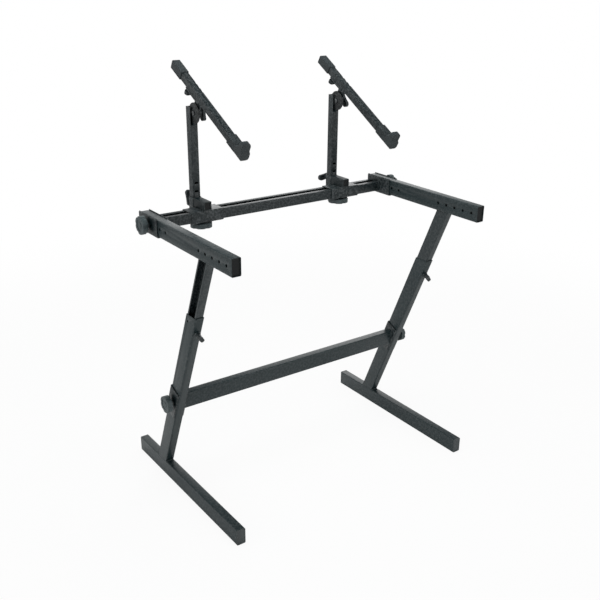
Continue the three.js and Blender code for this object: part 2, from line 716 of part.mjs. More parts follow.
// Tilt head, drawn with the arm's run along Y and the pivot at the origin
function makeTiltHead(tower, group) {
  const webTop = reachRise - fit;
  const webBottom = webTop - carrierWall;
  const disc = rodX(hingeDiscMoving, hingePlate, discSteps);
  const neckHeight = webBottom + carrierWall / 2;
  const neck = block(hingePlate, neckWidth, neckHeight).translate(0, 0, neckHeight / 2);
  const leaf = join(disc, neck).translate(hingeGap + hingePlate / 2, 0, 0);
  const bore = rodX(hingeBolt + boltBoreSlack, 4 * hingePlate);
  const inside = reachWidth - 2 * carrierWall;
  const shape = channelOutline(inside, carrierHeight - carrierWall, carrierWall, carrierWall);
  const carrier = alongY(shape, carrierFront + carrierRear).rotateY(Math.PI);
  carrier.translate(0, (carrierRear - carrierFront) / 2, webBottom);
  const boltWay = rodZ(reachBolt + boltBoreSlack, 4 * carrierWall).translate(0, reachBoltPlace, webBottom);
  add(`${tower.name}_tilt_head`, cut(join(carrier, leaf), bore, boltWay), steelLook, group);

  const headBottom = reachRise + reachWall + fit;
  const shankBottom = webBottom - fit - reachKnobHubLength;
  const boltHead = block(reachBoltHead, reachBoltHead, reachBoltHeadLength);
  boltHead.translate(0, 0, headBottom + reachBoltHeadLength / 2);
  const shankLength = headBottom - shankBottom + reachBoltHeadLength / 2;
  const shank = rodZ(reachBolt, shankLength).translate(0, 0, shankBottom + shankLength / 2);
  const bolt = add(`${tower.name}_reach_bolt`, join(boltHead, shank), boltLook, group);
  bolt.position.y = reachBoltPlace;

  const head = wingHead(smallKnob, reachKnobWide, smallKnobThick, smallKnobHub, reachKnobHubLength);
  const boreEnd = reachKnobHubLength + 2 * fit;
  const nutBore = rodZ(reachBolt + boltBoreSlack, boreEnd + overrun);
  nutBore.translate(0, 0, (boreEnd - overrun) / 2);
  const knob = add(`${tower.name}_reach_knob`, cut(head, nutBore), plasticLook, group);
  knob.rotation.x = Math.PI;
  knob.position.set(0, reachBoltPlace, webBottom);
}

// The lip seen from its side: a round buffer below, a tongue set back above it and a sloping back.
// Its own axes are the distance forward of the arm's end and the height above the arm's middle.
function lipProfile() {
  const shape = new THREE.Shape();
  const c = lipCorner;
  const tongue = lipDepth - lipStep;
  const back = lipDepth * lipBackShare;
  const waist = lipAbove * lipWaistShare;
  const meet = reachWidth / 2 + gripWall;
  shape.moveTo(c, -lipBelow);
  shape.lineTo(lipDepth - c, -lipBelow);
  shape.quadraticCurveTo(lipDepth, -lipBelow, lipDepth, c - lipBelow);
  shape.lineTo(lipDepth, waist - c);
  shape.quadraticCurveTo(lipDepth, waist, tongue, waist);
  shape.lineTo(tongue, lipAbove - c);
  shape.quadraticCurveTo(tongue, lipAbove, tongue - c, lipAbove);
  shape.quadraticCurveTo(back, lipAbove, back, lipAbove - c);
  shape.quadraticCurveTo(back, meet, fit, meet);
  shape.lineTo(fit, c - lipBelow);
  shape.quadraticCurveTo(fit, -lipBelow, c, -lipBelow);
  shape.closePath();
  return shape;
}

// The lip seen from the front: rounded below, its tongue rounded above
function lipFront() {
  const shape = new THREE.Shape();
  const x = lipWidth / 2;
  const round = lipWidth * lipRoundShare;
  shape.moveTo(x, round - lipBelow);
  shape.lineTo(x, lipAbove - round);
  shape.quadraticCurveTo(x, lipAbove, x - round, lipAbove);
  shape.lineTo(round - x, lipAbove);
  shape.quadraticCurveTo(-x, lipAbove, -x, lipAbove - round);
  shape.lineTo(-x, round - lipBelow);
  shape.quadraticCurveTo(-x, -lipBelow, round - x, -lipBelow);
  shape.lineTo(x - round, -lipBelow);
  shape.quadraticCurveTo(x, -lipBelow, x, round - lipBelow);
  shape.closePath();
  return shape;
}

// Upper arm: square tube with its rubber grip, front lip and rear boot
function makeReachArm(tower, group) {
  const front = -reachFront - tower.forward;
  const rear = reachRear - tower.forward;
  const centre = reachRise + reachWidth / 2;
  const tube = alongY(tubeOutline(reachWidth, reachWidth, reachWall, reachCorner), rear - front);
  tube.translate(0, (front + rear) / 2, centre);
  const slot = block(reachSlot, reachSlotLength, 2 * reachWall);
  slot.translate(0, reachBoltPlace - tower.forward, reachRise);
  add(`${tower.name}_reach_arm`, cut(tube, slot), steelLook, group);

  const outWidth = reachWidth + 2 * (fit + gripWall);
  const wrap = tubeOutline(outWidth, outWidth, gripWall, gripWall);
  const grip = alongY(wrap, gripLength).translate(0, front + gripLength / 2, centre);
  add(`${tower.name}_reach_grip`, grip, rubberLook, group);

  const wrapBoot = alongY(roundedOutline(new THREE.Shape(), outWidth, outWidth, gripWall), bootLength);
  wrapBoot.translate(0, rear + bootEnd - bootLength / 2, centre);
  const pocketWidth = reachWidth + 2 * fit;
  const pocketLength = bootLength - bootEnd + fit + overrun;
  const pocket = block(pocketWidth, pocketLength, pocketWidth);
  pocket.translate(0, rear + fit - pocketLength / 2, centre);
  add(`${tower.name}_reach_boot`, cut(wrapBoot, pocket), rubberLook, group);

  const lipSide = alongX(lipProfile(), 2 * lipWidth, wingSteps).rotateZ(Math.PI);
  const lipFace = alongY(lipFront(), 4 * lipDepth, wingSteps);
  add(`${tower.name}_reach_lip`, common(lipSide, lipFace).translate(0, front, centre), rubberLook, group);
}

const towers = [
  {
    name: 'left',
    x: leftClampInset - barEnd,
    raise: leftPostRaise,
    tilt: leftTiltDegrees,
    forward: leftReachForward,
    wingTurn: THREE.MathUtils.degToRad(leftPostKnobTurn),
    tiltWingTurn: THREE.MathUtils.degToRad(leftTiltKnobTurn),
  },
  {
    name: 'right',
    x: barEnd - rightClampInset,
    raise: rightPostRaise,
    tilt: rightTiltDegrees,
    forward: rightReachForward,
    wingTurn: THREE.MathUtils.degToRad(rightPostKnobTurn),
    tiltWingTurn: THREE.MathUtils.degToRad(rightTiltKnobTurn),
  },
];

function makeTower(tower) {
  makeClamp(tower);
  const post = new THREE.Group();
  post.position.set(tower.x, postMiddle, collarBottom + tower.raise);
  built.add(post);
  const pivot = makePost(tower, post);
  makeTiltKnob(tower, post, pivot);
  const head = new THREE.Group();
  head.position.set(0, pivot.y, pivot.z);
  head.rotation.x = THREE.MathUtils.degToRad(tower.tilt);
  post.add(head);
  makeTiltHead(tower, head);
  makeReachArm(tower, head);
}

for (const side of sides) {
  makeFoot(side);
  makeOuterLeg(side);
  makeLegKnob(side);
  makeInnerLeg(side);
  makeArm(side);
}
makeLowerBar();
makeRail();
towers.forEach(makeTower);

export default stand;
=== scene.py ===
# Two-tier keyboard stand with Z-shaped sides: black powder-coated steel tube, plastic knobs, rubber tips.
import json
import math

import bpy
from mathutils import Matrix, Vector


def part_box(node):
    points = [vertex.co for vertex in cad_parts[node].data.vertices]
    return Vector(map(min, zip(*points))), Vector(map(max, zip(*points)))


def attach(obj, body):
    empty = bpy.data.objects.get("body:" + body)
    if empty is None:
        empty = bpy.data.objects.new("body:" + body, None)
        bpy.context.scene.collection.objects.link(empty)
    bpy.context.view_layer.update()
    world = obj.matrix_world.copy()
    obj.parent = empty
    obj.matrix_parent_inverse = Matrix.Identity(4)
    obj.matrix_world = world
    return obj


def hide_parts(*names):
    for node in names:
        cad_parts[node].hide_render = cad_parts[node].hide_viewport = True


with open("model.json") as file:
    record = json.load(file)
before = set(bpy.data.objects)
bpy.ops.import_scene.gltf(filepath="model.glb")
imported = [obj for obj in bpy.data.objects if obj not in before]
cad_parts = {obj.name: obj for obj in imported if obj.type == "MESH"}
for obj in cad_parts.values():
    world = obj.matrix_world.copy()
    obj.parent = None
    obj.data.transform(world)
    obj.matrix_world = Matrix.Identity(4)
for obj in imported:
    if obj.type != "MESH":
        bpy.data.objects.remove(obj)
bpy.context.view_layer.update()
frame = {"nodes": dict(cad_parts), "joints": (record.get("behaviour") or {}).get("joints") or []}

bpy.context.scene.view_settings.view_transform = "Standard"

# The camera stands in front of the left foot, a little above the upper tier, and looks down along
# the stand. The picture's centre lies a few pixels off the lens axis, which the two shifts carry.
picture_side = 600
eye = (-1.27537, -1.76309, 1.36844)
eye_turn, eye_drop, eye_roll = -36.125, 23.058, 0.769
focal_pixels = 826.03
axis_pixel = (306.06, 317.72)


def turned(degrees, axis):
    return Matrix.Rotation(math.radians(degrees), 4, axis)


bpy.ops.object.camera_add()
camera = bpy.context.object
camera.matrix_world = (
    Matrix.Translation(eye)
    @ turned(eye_turn, "Z")
    @ turned(90 - eye_drop, "X")
    @ turned(eye_roll, "Z")
)
camera.data.lens = focal_pixels * camera.data.sensor_width / picture_side
camera.data.shift_x = 0.5 - axis_pixel[0] / picture_side
camera.data.shift_y = axis_pixel[1] / picture_side - 0.5
camera.data.clip_start, camera.data.clip_end = 0.05, 60
bpy.context.scene.camera = camera


# The floor is a plain pale studio sweep. Near the stand it is a matt surface that takes its shadow,
# and further off the camera sees it, and the room behind it, as plain white.
class Tone:
    """A number that varies over a surface. Sums of tones are worked out by the material's nodes."""

    def __init__(self, paint, socket):
        self.paint = paint
        self.socket = socket

    def maths(self, operation, first, second=0.0):
        return self.paint.node("ShaderNodeMath", {"operation": operation}, {0: first, 1: second})

    def __add__(self, other):
        return self.maths("ADD", self, other)

    def __sub__(self, other):
        return self.maths("SUBTRACT", self, other)

    def __rsub__(self, other):
        return self.maths("SUBTRACT", other, self)

    def __mul__(self, other):
        return self.maths("MULTIPLY", self, other)

    __radd__ = __add__
    __rmul__ = __mul__


class Paint:
    """A material made of nodes round one shader."""

    def __init__(self, name, **fixed):
        self.material = bpy.data.materials.new(name)
        self.material.use_nodes = True
        self.tree = self.material.node_tree
        self.shader = self.tree.nodes["Principled BSDF"]
        for word, value in fixed.items():
            self.shader.inputs[word.replace("_", " ")].default_value = value

    def feed(self, socket, value):
        if isinstance(value, Tone):
            self.tree.links.new(value.socket, socket)
        else:
            socket.default_value = value

    def node(self, kind, settings=None, sockets=None, output=0):
        new = self.tree.nodes.new(kind)
        for setting, value in (settings or {}).items():
            setattr(new, setting, value)
        for socket, value in (sockets or {}).items():
            self.feed(new.inputs[socket], value)
        return Tone(self, new.outputs[output])

    def place(self, turn=(0, 0, 0), stretch=(1, 1, 1)):
        """Where a point lies on the stand, turned and stretched."""
        spot = self.node("ShaderNodeTexCoord", output="Object")
        return self.node("ShaderNodeMapping", {}, {"Vector": spot, "Rotation": turn, "Scale": stretch})

    def noise(self, spot, per_metre, detail=2.0, roughness=0.5):
        sockets = {"Vector": spot, "Scale": per_metre, "Detail": detail, "Roughness": roughness}
        return self.node("ShaderNodeTexNoise", {}, sockets)

    def above(self, tone, start, end):
        """0 below start, 1 above end and a smooth rise between them."""
        settings = {"interpolation_type": "SMOOTHSTEP"}
        return self.node("ShaderNodeMapRange", settings, {0: tone, 1: start, 2: end})

    def between(self, share, first, second):
        """A colour that goes from the first to the second."""
        settings = {"data_type": "RGBA"}
        return self.node("ShaderNodeMix", settings, {0: share, 6: first, 7: second}, output=2)

    def relief(self, height, depth):
        """Raises the surface by a height from 0 to 1 times a depth in metres."""
        return self.node("ShaderNodeBump", {}, {"Height": height, "Distance": depth, "Strength": 1.0})

    def finish(self, colour, roughness, relief):
        for socket, value in (("Base Color", colour), ("Roughness", roughness), ("Normal", relief)):
            self.feed(self.shader.inputs[socket], value)
        return self.material


floor_half = 30
floor_colour = (0.86, 0.87, 0.87, 1)
sweep_start, sweep_end = 1.0, 2.6
bpy.ops.object.select_all(action="DESELECT")
bpy.ops.mesh.primitive_plane_add(size=2 * floor_half)
floor = bpy.context.object
floor.name = "floor"
sweep = Paint("pale_floor", Roughness=0.9)
sweep.feed(sweep.shader.inputs["Base Color"], floor_colour)
sweep.feed(sweep.shader.inputs["Specular IOR Level"], 0.0)
away = sweep.node("ShaderNodeVectorMath", {"operation": "LENGTH"}, {0: sweep.place()}, output="Value")
seen = sweep.node("ShaderNodeLightPath", output="Is Camera Ray")
plain_white = sweep.node("ShaderNodeEmission", {}, {"Color": (1, 1, 1, 1), "Strength": 1.0}, output=0)
near_white_share = 0.92
whiteness = near_white_share + (1 - near_white_share) * sweep.above(away, sweep_start, sweep_end)
matt = Tone(sweep, sweep.shader.outputs[0])
floor_look = sweep.node("ShaderNodeMixShader", {}, {0: seen * whiteness, 1: matt, 2: plain_white})
sweep.feed(sweep.tree.nodes["Material Output"].inputs["Surface"], floor_look)
floor.data.materials.append(sweep.material)

# The room is pale at the horizon and dim above, with wide soft lamps on the left, in front and behind
# on the right. A lamp overhead lights the floor and is not mirrored in the stand. Straight rays from
# the camera see the room as white.
room = bpy.data.worlds.new("room")
bpy.context.scene.world = room
room.use_nodes = True
room_nodes = room.node_tree
wall_level, ceiling_level, ceiling_start, ceiling_end = 0.8, 0.22, 0.1, 0.75
white = room_nodes.nodes["Background"]
white.inputs["Color"].default_value = (1, 1, 1, 1)
path = room_nodes.nodes.new("ShaderNodeLightPath")
towards = room_nodes.nodes.new("ShaderNodeTexCoord")
height = room_nodes.nodes.new("ShaderNodeSeparateXYZ")
fade = room_nodes.nodes.new("ShaderNodeMapRange")
fade.interpolation_type = "SMOOTHSTEP"
for socket, value in ((1, ceiling_start), (2, ceiling_end), (3, wall_level), (4, ceiling_level)):
    fade.inputs[socket].default_value = value
level = room_nodes.nodes.new("ShaderNodeMath")
level.operation = "MAXIMUM"
for start, end in (
    (towards.outputs["Generated"], height.inputs[0]),
    (height.outputs["Z"], fade.inputs[0]),
    (fade.outputs[0], level.inputs[1]),
    (path.outputs["Is Camera Ray"], level.inputs[0]),
    (level.outputs[0], white.inputs["Strength"]),
):
    room_nodes.links.new(start, end)
lamps = {
    "left": {"place": (-3.2, 0.6, 1.7), "aim": (0, 0, 0.5), "side": 3.0, "power": 26},
    "front": {"place": (1.6, -3.2, 1.9), "aim": (0, 0, 0.5), "side": 3.0, "power": 20},
    "rear": {"place": (3.6, 3.9, 1.7), "aim": (0, 0, 0.7), "side": 4.5, "power": 50},
    "top": {"place": (0, 0, 2.6), "aim": (0, 0, 0), "side": 1.6, "power": 32},
}
unmirrored_lamp = "top"
for name, lamp in lamps.items():
    bpy.ops.object.light_add(type="AREA", location=lamp["place"])
    light = bpy.context.object
    light.name = f"{name}_lamp"
    beam = Vector(lamp["aim"]) - Vector(lamp["place"])
    light.rotation_euler = beam.to_track_quat("-Z", "Y").to_euler()
    light.data.shape = "DISK"
    light.data.size = lamp["side"]
    light.data.energy = lamp["power"]
    light.visible_glossy = name != unmirrored_lamp


# The two feet are straight lengths of rectangular steel tube with rounded corners, sawn square,
# black powder-coated, lying on the floor from front to back.
def nothing_selected():
    if bpy.context.mode != "OBJECT":
        bpy.ops.object.mode_set(mode="OBJECT")
    bpy.ops.object.select_all(action="DESELECT")


def take(piece):
    nothing_selected()
    piece.select_set(True)
    bpy.context.view_layer.objects.active = piece


def block(name, size, middle=(0, 0, 0)):
    """A plain block, the blank that most pieces are cut from."""
    nothing_selected()
    bpy.ops.mesh.primitive_cube_add(size=1, location=middle)
    piece = bpy.context.object
    piece.name = name
    piece.scale = size
    bpy.ops.object.transform_apply()
    return piece


def bar(name, size, corner, along, middle=(0, 0, 0), steps=5):
    """A solid bar with rounded long edges. It runs along X, Y or Z for 0, 1 or 2."""
    piece = block(name, size, middle)
    bpy.ops.object.mode_set(mode="EDIT")
    bpy.ops.mesh.select_mode(type="EDGE")
    bpy.ops.mesh.select_all(action="DESELECT")
    bpy.ops.object.mode_set(mode="OBJECT")
    for edge in piece.data.edges:
        first, second = (piece.data.vertices[v].co for v in edge.vertices)
        edge.select = abs(first[along] - second[along]) > size[along] / 2
    bpy.ops.object.mode_set(mode="EDIT")
    bpy.ops.mesh.bevel(offset=corner, segments=steps, affect="EDGES")
    bpy.ops.object.mode_set(mode="OBJECT")
    return piece


def modify(piece, kind, **settings):
    """Adds a modifier with these settings and applies it."""
    take(piece)
    change = piece.modifiers.new(kind.lower(), kind)
    for setting, value in settings.items():
        setattr(change, setting, value)
    bpy.ops.object.modifier_apply(modifier=change.name)
    return piece


def combine(piece, tool, operation):
    modify(piece, "BOOLEAN", operation=operation, object=tool, solver="EXACT")
    bpy.data.objects.remove(tool)
    return piece


def cut(piece, *tools):
    for tool in tools:
        combine(piece, tool, "DIFFERENCE")
    return piece


def fuse(piece, *others):
    for other in others:
        combine(piece, other, "UNION")
    return piece


def tube(name, size, corner, along, wall, middle=(0, 0, 0)):
    """A rectangular tube with open ends."""
    inside = [side - 2 * wall for side in size]
    inside[along] = size[along] + 2 * wall
    bore = bar(f"{name}_bore", inside, max(corner - wall, wall / 2), along, middle, steps=3)
    return cut(bar(name, size, corner, along, middle), bore)


def rod(name, radius, length, middle=(0, 0, 0), along=(0, 0, 1), sides=40):
    nothing_selected()
    turn = Vector((0, 0, 1)).rotation_difference(Vector(along)).to_euler()
    bpy.ops.mesh.primitive_cylinder_add(
        vertices=sides, radius=radius, depth=length, location=middle, rotation=turn)
    piece = bpy.context.object
    piece.name = name
    bpy.ops.object.transform_apply()
    return piece


def settle(piece, where):
    """Moves a piece to its place on the stand."""
    take(piece)
    piece.matrix_world = where
    bpy.ops.object.transform_apply()
    return piece


def soften(piece, width, steps=2, angle=32):
    """Rounds the sharp edges and shades the rest smooth."""
    sharp = math.radians(angle)
    if width:
        modify(piece, "BEVEL", width=width, segments=steps, limit_method="ANGLE", angle_limit=sharp)
    take(piece)
    bpy.ops.object.shade_smooth_by_angle(angle=sharp)
    return piece


def belongs(piece, body, look, slot, *nodes):
    """Gives a finished piece its finish and its body, and hides the solids that it stands for."""
    piece.data.materials.clear()
    piece.data.materials.append(look)
    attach(piece, body)
    if nodes:
        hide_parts(*nodes)
    return piece


# The pale edge colour and its patchy mask stand partly for rubbed coat and partly for a painted edge
# highlight.
fine_grain, cloud_scale, peel_scale, grain_scale, dust_scale, rub_highlight_scale = 0.000012, 14, 620, 2400, 240, 160
dust_share, dust_colour, rubbed_highlight_colour = 0.05, (0.2, 0.22, 0.22, 1), (0.1, 0.112, 0.116, 1)


def powder_coat(name, dark, light, rough, peel_depth=fine_grain, wear_and_highlight=0.3):
    """Satin black powder coat: fine orange peel, uneven gloss, and sharp edges lightened in patches, partly
    as rubbed coat and partly as a painted edge highlight.
    """
    paint = Paint(name, Metallic=0.0)
    spot = paint.place()
    cloud = paint.noise(spot, cloud_scale, 4)
    peel = paint.noise(spot, peel_scale, 3)
    grain = paint.noise(spot, grain_scale, 2)
    dust = paint.above(paint.noise(spot, dust_scale, 6, 0.7), 0.6, 0.85)
    edge = paint.above(paint.node("ShaderNodeNewGeometry", output="Pointiness"), 0.505, 0.56)
    # Sharp edges are lightened in patches: slight rubbing, and a painted highlight along the edges.
    rubbed_and_highlight = edge * paint.above(paint.noise(spot, rub_highlight_scale, 5, 0.65), 0.42, 0.62) * wear_and_highlight
    shade = paint.between(paint.above(cloud, 0.3, 0.7), dark, light)
    shade = paint.between(dust * dust_share, shade, dust_colour)
    shade = paint.between(rubbed_and_highlight, shade, rubbed_highlight_colour)
    roughness = rough + 0.12 * (cloud - 0.5) + 0.06 * (grain - 0.5) + 0.1 * dust
    return paint.finish(shade, roughness, paint.relief(peel + 0.3 * grain, peel_depth))


sides = {"left": -1, "right": 1}
tube_wall, tube_corner, sawn_edge = 0.0015, 0.003, 0.0004
tube_coat = powder_coat("tube_coat", (0.0055, 0.0155, 0.018, 1), (0.0075, 0.019, 0.0215, 1), 0.4)
for side in sides:
    low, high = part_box(f"{side}_foot")
    foot = tube(f"{side}_foot_tube", high - low, tube_corner, 1, tube_wall, (low + high) / 2)
    belongs(soften(foot, sawn_edge), "base", tube_coat, "black_steel", f"{side}_foot")
    tube_width = high.x - low.x
    tube_depth = high.z - low.z


# A moulded plastic cap closes each end of a foot. It has a flat flange as wide as the tube, a
# shallow dished face and a plug that fills the tube's inside.
def moulded_plastic(name, colour, rough=0.5):
    """Black plastic with a fine spark-eroded grain and faint flow marks."""
    paint = Paint(name, Metallic=0.0)
    spot = paint.place()
    flow = paint.noise(paint.place(stretch=(1, 1, 0.4)), flow_scale, 3)
    grain = paint.noise(spot, spark_scale, 3, 0.6)
    pale = tuple(1.35 * c for c in colour[:3]) + (1,)
    shade = paint.between(paint.above(flow, 0.3, 0.7), colour, pale)
    roughness = rough + 0.12 * (flow - 0.5) + 0.12 * (grain - 0.5)
    return paint.finish(shade, roughness, paint.relief(grain, fine_grain))


flow_scale, spark_scale = 60, 1900
cap_rim, cap_dish, cap_edge, plug_gap = 0.0022, 0.0005, 0.0007, 0.0005
cap_plastic = moulded_plastic("cap_plastic", (0.034, 0.042, 0.044, 1), 0.46)
# The plugs' plastic is near black as painted shade, so their faces read as dark recesses in the tube ends.
plug_plastic = moulded_plastic("plug_plastic", (0.001, 0.002, 0.0025, 1), 0.75)


def dish(cap, low, high, outer, corner):
    """Sinks the face of a cap at outer, inside a raised rim."""
    size = (high.x - low.x - 2 * cap_rim, 2 * cap_dish, high.z - low.z - 2 * cap_rim)
    return cut(cap, bar("dish", size, corner, 1, ((low.x + high.x) / 2, outer, (low.z + high.z) / 2)))


for side in sides:
    for end, way in (("front", -1), ("rear", 1)):
        low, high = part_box(f"{side}_foot_{end}_cap")
        outer = high.y if way > 0 else low.y
        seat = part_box(f"{side}_foot")[1 if way > 0 else 0].y
        middle = (low + high) / 2
        flange = outer - seat
        middle.y = (outer + seat) / 2
        flange_size = (high.x - low.x, abs(flange), high.z - low.z)
        cap = bar(f"{side}_foot_{end}_end", flange_size, tube_corner, 1, middle)
        dish(soften(cap, cap_edge, steps=3), low, high, outer, tube_corner / 2)
        plug_size = [high.x - low.x - 2 * (tube_wall + plug_gap), high.y - low.y - abs(flange),
                     high.z - low.z - 2 * (tube_wall + plug_gap)]
        plug_middle = (middle.x, seat - way * plug_size[1] / 2, middle.z)
        fuse(cap, bar("plug", plug_size, tube_corner / 2, 1, plug_middle))
        belongs(soften(cap, 0), "base", cap_plastic, "black_plastic", f"{side}_foot_{end}_cap")

# The outer legs are the same tube, leaning forward from a weld on the foot, and sawn level at both
# ends. A short steel boss welded on the front takes the clamping screw, and the side has a rivet hole.
joint = {j["name"]: j for j in frame["joints"]}
leg_rise = Vector(joint["height_slide"]["axis"])
lean = math.atan2(-leg_rise.y, leg_rise.z)
boss_radius, boss_reach, screw_hole = 0.008, 0.006, 0.0034
rivet_radius, rivet_drop, rivet_back = 0.0035, 0.024, 0.009
leg_clamp_drop = 0.042


def joint_at(name):
    return Vector(joint[name]["pos_m"])


def on_leg(point):
    """The leg's own axes at a point on its middle line: Z up the leg and Y to its rear face."""
    return Matrix.Translation(point) @ Matrix.Rotation(lean, 4, "X")


def saw_level(leg, low, high, length):
    """Saws a leg off level at the bottom and the top of its box."""
    kept = (2 * tube_width, length, high.z - low.z)
    return combine(leg, block("level_ends", kept, (low + high) / 2), "INTERSECT")


for side, out in sides.items():
    low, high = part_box(f"{side}_leg")
    leg_length = 2 * (high - low).length
    leg = tube(f"{side}_outer_leg", (tube_width, tube_depth, leg_length), tube_corner, 2, tube_wall)
    fuse(leg, rod("boss", boss_radius, 2 * boss_reach, (0, -tube_depth / 2, 0), (0, 1, 0)))
    inside = (tube_width - 2 * tube_wall, tube_depth - 2 * tube_wall, 4 * boss_reach)
    cut(leg, block("clear_bore", inside))
    cut(leg, rod("screw_hole", screw_hole, 4 * boss_reach, (0, -tube_depth / 2, 0), (0, 1, 0)))
    rivet = (out * tube_width / 2, rivet_back, leg_clamp_drop - rivet_drop)
    cut(leg, rod("rivet_hole", rivet_radius, tube_width / 2, rivet, (1, 0, 0)))
    settle(leg, on_leg(joint_at(f"{side}_leg_knob_turn")))
    saw_level(leg, low, high, leg_length)
    belongs(soften(leg, sawn_edge), "base", tube_coat, "black_steel", f"{side}_leg")


# The welds are short rows of overlapping puddles under the coat. One lies along the front and one
# along the rear of each leg's base, and others where the arms meet the legs, at the ends of the crossbar
# and the rail, and along the hinges' necks.
bead_radius, bead_step, bead_skin = 0.0019, 0.0016, 0.00045


def weld_bead(name, start, end, body, radius=bead_radius):
    nothing_selected()
    run = Vector(end) - Vector(start)
    bpy.ops.mesh.primitive_uv_sphere_add(segments=16, ring_count=10, radius=radius)
    bead = bpy.context.object
    bead.name = name
    modify(bead, "ARRAY", use_relative_offset=False, use_constant_offset=True,
           constant_offset_displace=(0, 0, bead_step), count=int(run.length / bead_step) + 1)
    modify(bead, "REMESH", mode="VOXEL", voxel_size=bead_skin, use_smooth_shade=True)
    settle(bead, Matrix.Translation(start) @ run.to_track_quat("Z", "Y").to_matrix().to_4x4())
    return belongs(bead, body, tube_coat, "black_steel")


def welds_across(name, side, width, depth, level, body):
    """Beads in front of and behind a leaning leg, where it meets a level tube."""
    meet = joint_at(f"{side}_leg_knob_turn")
    meet += leg_rise * ((level - meet.z) / leg_rise.z)
    for end, way in (("front", -1), ("rear", 1)):
        y = meet.y + way * depth / 2 / math.cos(lean)
        ends = [(meet.x + share * width / 2, y, level) for share in (-1, 1)]
        weld_bead(f"{side}_{name}_{end}_weld", *ends, body)


for side in sides:
    foot_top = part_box(f"{side}_leg")[0].z
    welds_across("leg", side, tube_width - 2 * tube_corner, tube_depth, foot_top, "base")


# Small plastic knobs with two wings and a moulded-in screw clamp the inner legs. The same knob,
# larger, locks the posts, the hinges and the upper arms.
def winged_knob(name, span, width, thick, hub, rise, screw, reach):
    """It stands on its seat at zero with the wings above and the screw reaching down."""
    top = rise + thick
    wings = bar(name, (span, width, thick), width * wing_round_share, 2, (0, 0, rise + thick / 2), steps=8)
    dip, chord = thick * saddle_dip_share, span * saddle_share
    saddle = (chord * chord / 4 + dip * dip) / (2 * dip)
    cut(wings, rod("saddle", saddle, 2 * width, (0, 0, top - dip + saddle), (0, 1, 0), sides=240))
    soften(wings, wing_edge, steps=4, angle=30)
    hub_length = top - dip - wing_edge - seat_gap
    fuse(wings, rod("hub", hub / 2, hub_length, (0, 0, seat_gap + hub_length / 2)))
    if reach:
        fuse(wings, rod("screw", screw / 2, reach + rise, (0, 0, (rise - reach) / 2), sides=24))
    return soften(wings, 0, angle=38)


def knob_body(knob, name, look):
    """Each knob is a body of its own with its solid's name."""
    return belongs(knob, name, look, "black_plastic", name)


wing_round_share, saddle_dip_share, saddle_share, wing_edge = 0.48, 0.18, 0.7, 0.0017
seat_gap = 0.0003
small_span, small_width, small_thick = 0.027, 0.011, 0.009
small_hub, small_rise, small_screw = 0.012, 0.008, 0.006
leg_knob_turn = -50
knob_plastic = moulded_plastic("knob_plastic", (0.014, 0.0195, 0.021, 1), 0.46)
for side in sides:
    knob_size = (small_span, small_width, small_thick, small_hub, small_rise, small_screw)
    knob = winged_knob(f"{side}_leg_wing", *knob_size, boss_reach + tube_wall)
    seat = Matrix.Translation((0, -tube_depth / 2 - boss_reach, 0))
    facing = turned(90, "X")
    turn = turned(leg_knob_turn, "Z")
    settle(knob, on_leg(joint_at(f"{side}_leg_knob_turn")) @ seat @ facing @ turn)
    knob_body(knob, f"{side}_leg_knob", knob_plastic)

# The inner legs are a size smaller and slide in the outer ones. They are rolled channels, open along
# their outer side between two lips, with a row of holes for the screw and a plastic glide below.
inner_wall, inner_corner, height_hole, height_pitch, height_holes = 0.0018, 0.0025, 0.0035, 0.04, 4
inner_width, inner_depth, inner_lip = 0.0218, 0.0406, 0.006
inner_coat = powder_coat("inner_leg_coat", (0.0085, 0.0165, 0.019, 1), (0.012, 0.0215, 0.024, 1), 0.36)
for side, out in sides.items():
    low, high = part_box(f"{side}_inner_leg")
    inner_length = 2 * (high - low).length
    inner_size = (inner_width, inner_depth, inner_length)
    inner = tube(f"{side}_sliding_leg", inner_size, inner_corner, 2, inner_wall)
    for i in range(height_holes):
        spot = (0, -inner_depth / 2, -(i + 1) * height_pitch)
        cut(inner, rod("height_hole", height_hole, inner_depth / 2, spot, (0, 1, 0)))
    mouth = (inner_width - 2 * inner_wall, inner_depth - 2 * inner_lip, 2 * inner_length)
    cut(inner, block("mouth", mouth, (out * inner_width / 2, 0, 0)))
    settle(inner, on_leg(joint_at(f"{side}_leg_knob_turn")))
    saw_level(inner, low, high, inner_length)
    belongs(soften(inner, sawn_edge), "deck", inner_coat, "black_steel", f"{side}_inner_leg")
    glide_looks = frame["nodes"][f"{side}_inner_leg_glide"].data.materials
    glide_looks.clear()
    glide_looks.append(cap_plastic)

# The arms of the lower tier are level tubes of the main size, welded on the inner legs. Their sides
# have round accessory holes drilled through, five in front and four for the rail bracket's screw.
arm_hole, arm_pitch, arm_first, arm_rear_first = 0.004, 0.032, 0.022, 0.043
arm_front_holes, arm_rear_holes = 5, 4
for side in sides:
    low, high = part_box(f"{side}_arm")
    arm = tube(f"{side}_lower_arm", high - low, tube_corner, 1, tube_wall, (low + high) / 2)
    spots = [low.y + arm_first + i * arm_pitch for i in range(arm_front_holes)]
    spots += [high.y - arm_rear_first - i * arm_pitch for i in range(arm_rear_holes)]
    for y in spots:
        centre = ((low.x + high.x) / 2, y, (low.z + high.z) / 2)
        cut(arm, rod("arm_hole", arm_hole, 2 * tube_width, centre, (1, 0, 0), sides=28))
    belongs(soften(arm, sawn_edge), "deck", tube_coat, "black_steel", f"{side}_arm")
    leg_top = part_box(f"{side}_inner_leg")[1].z
    welds_across("arm", side, inner_width - 2 * inner_corner, inner_depth, leg_top, "deck")

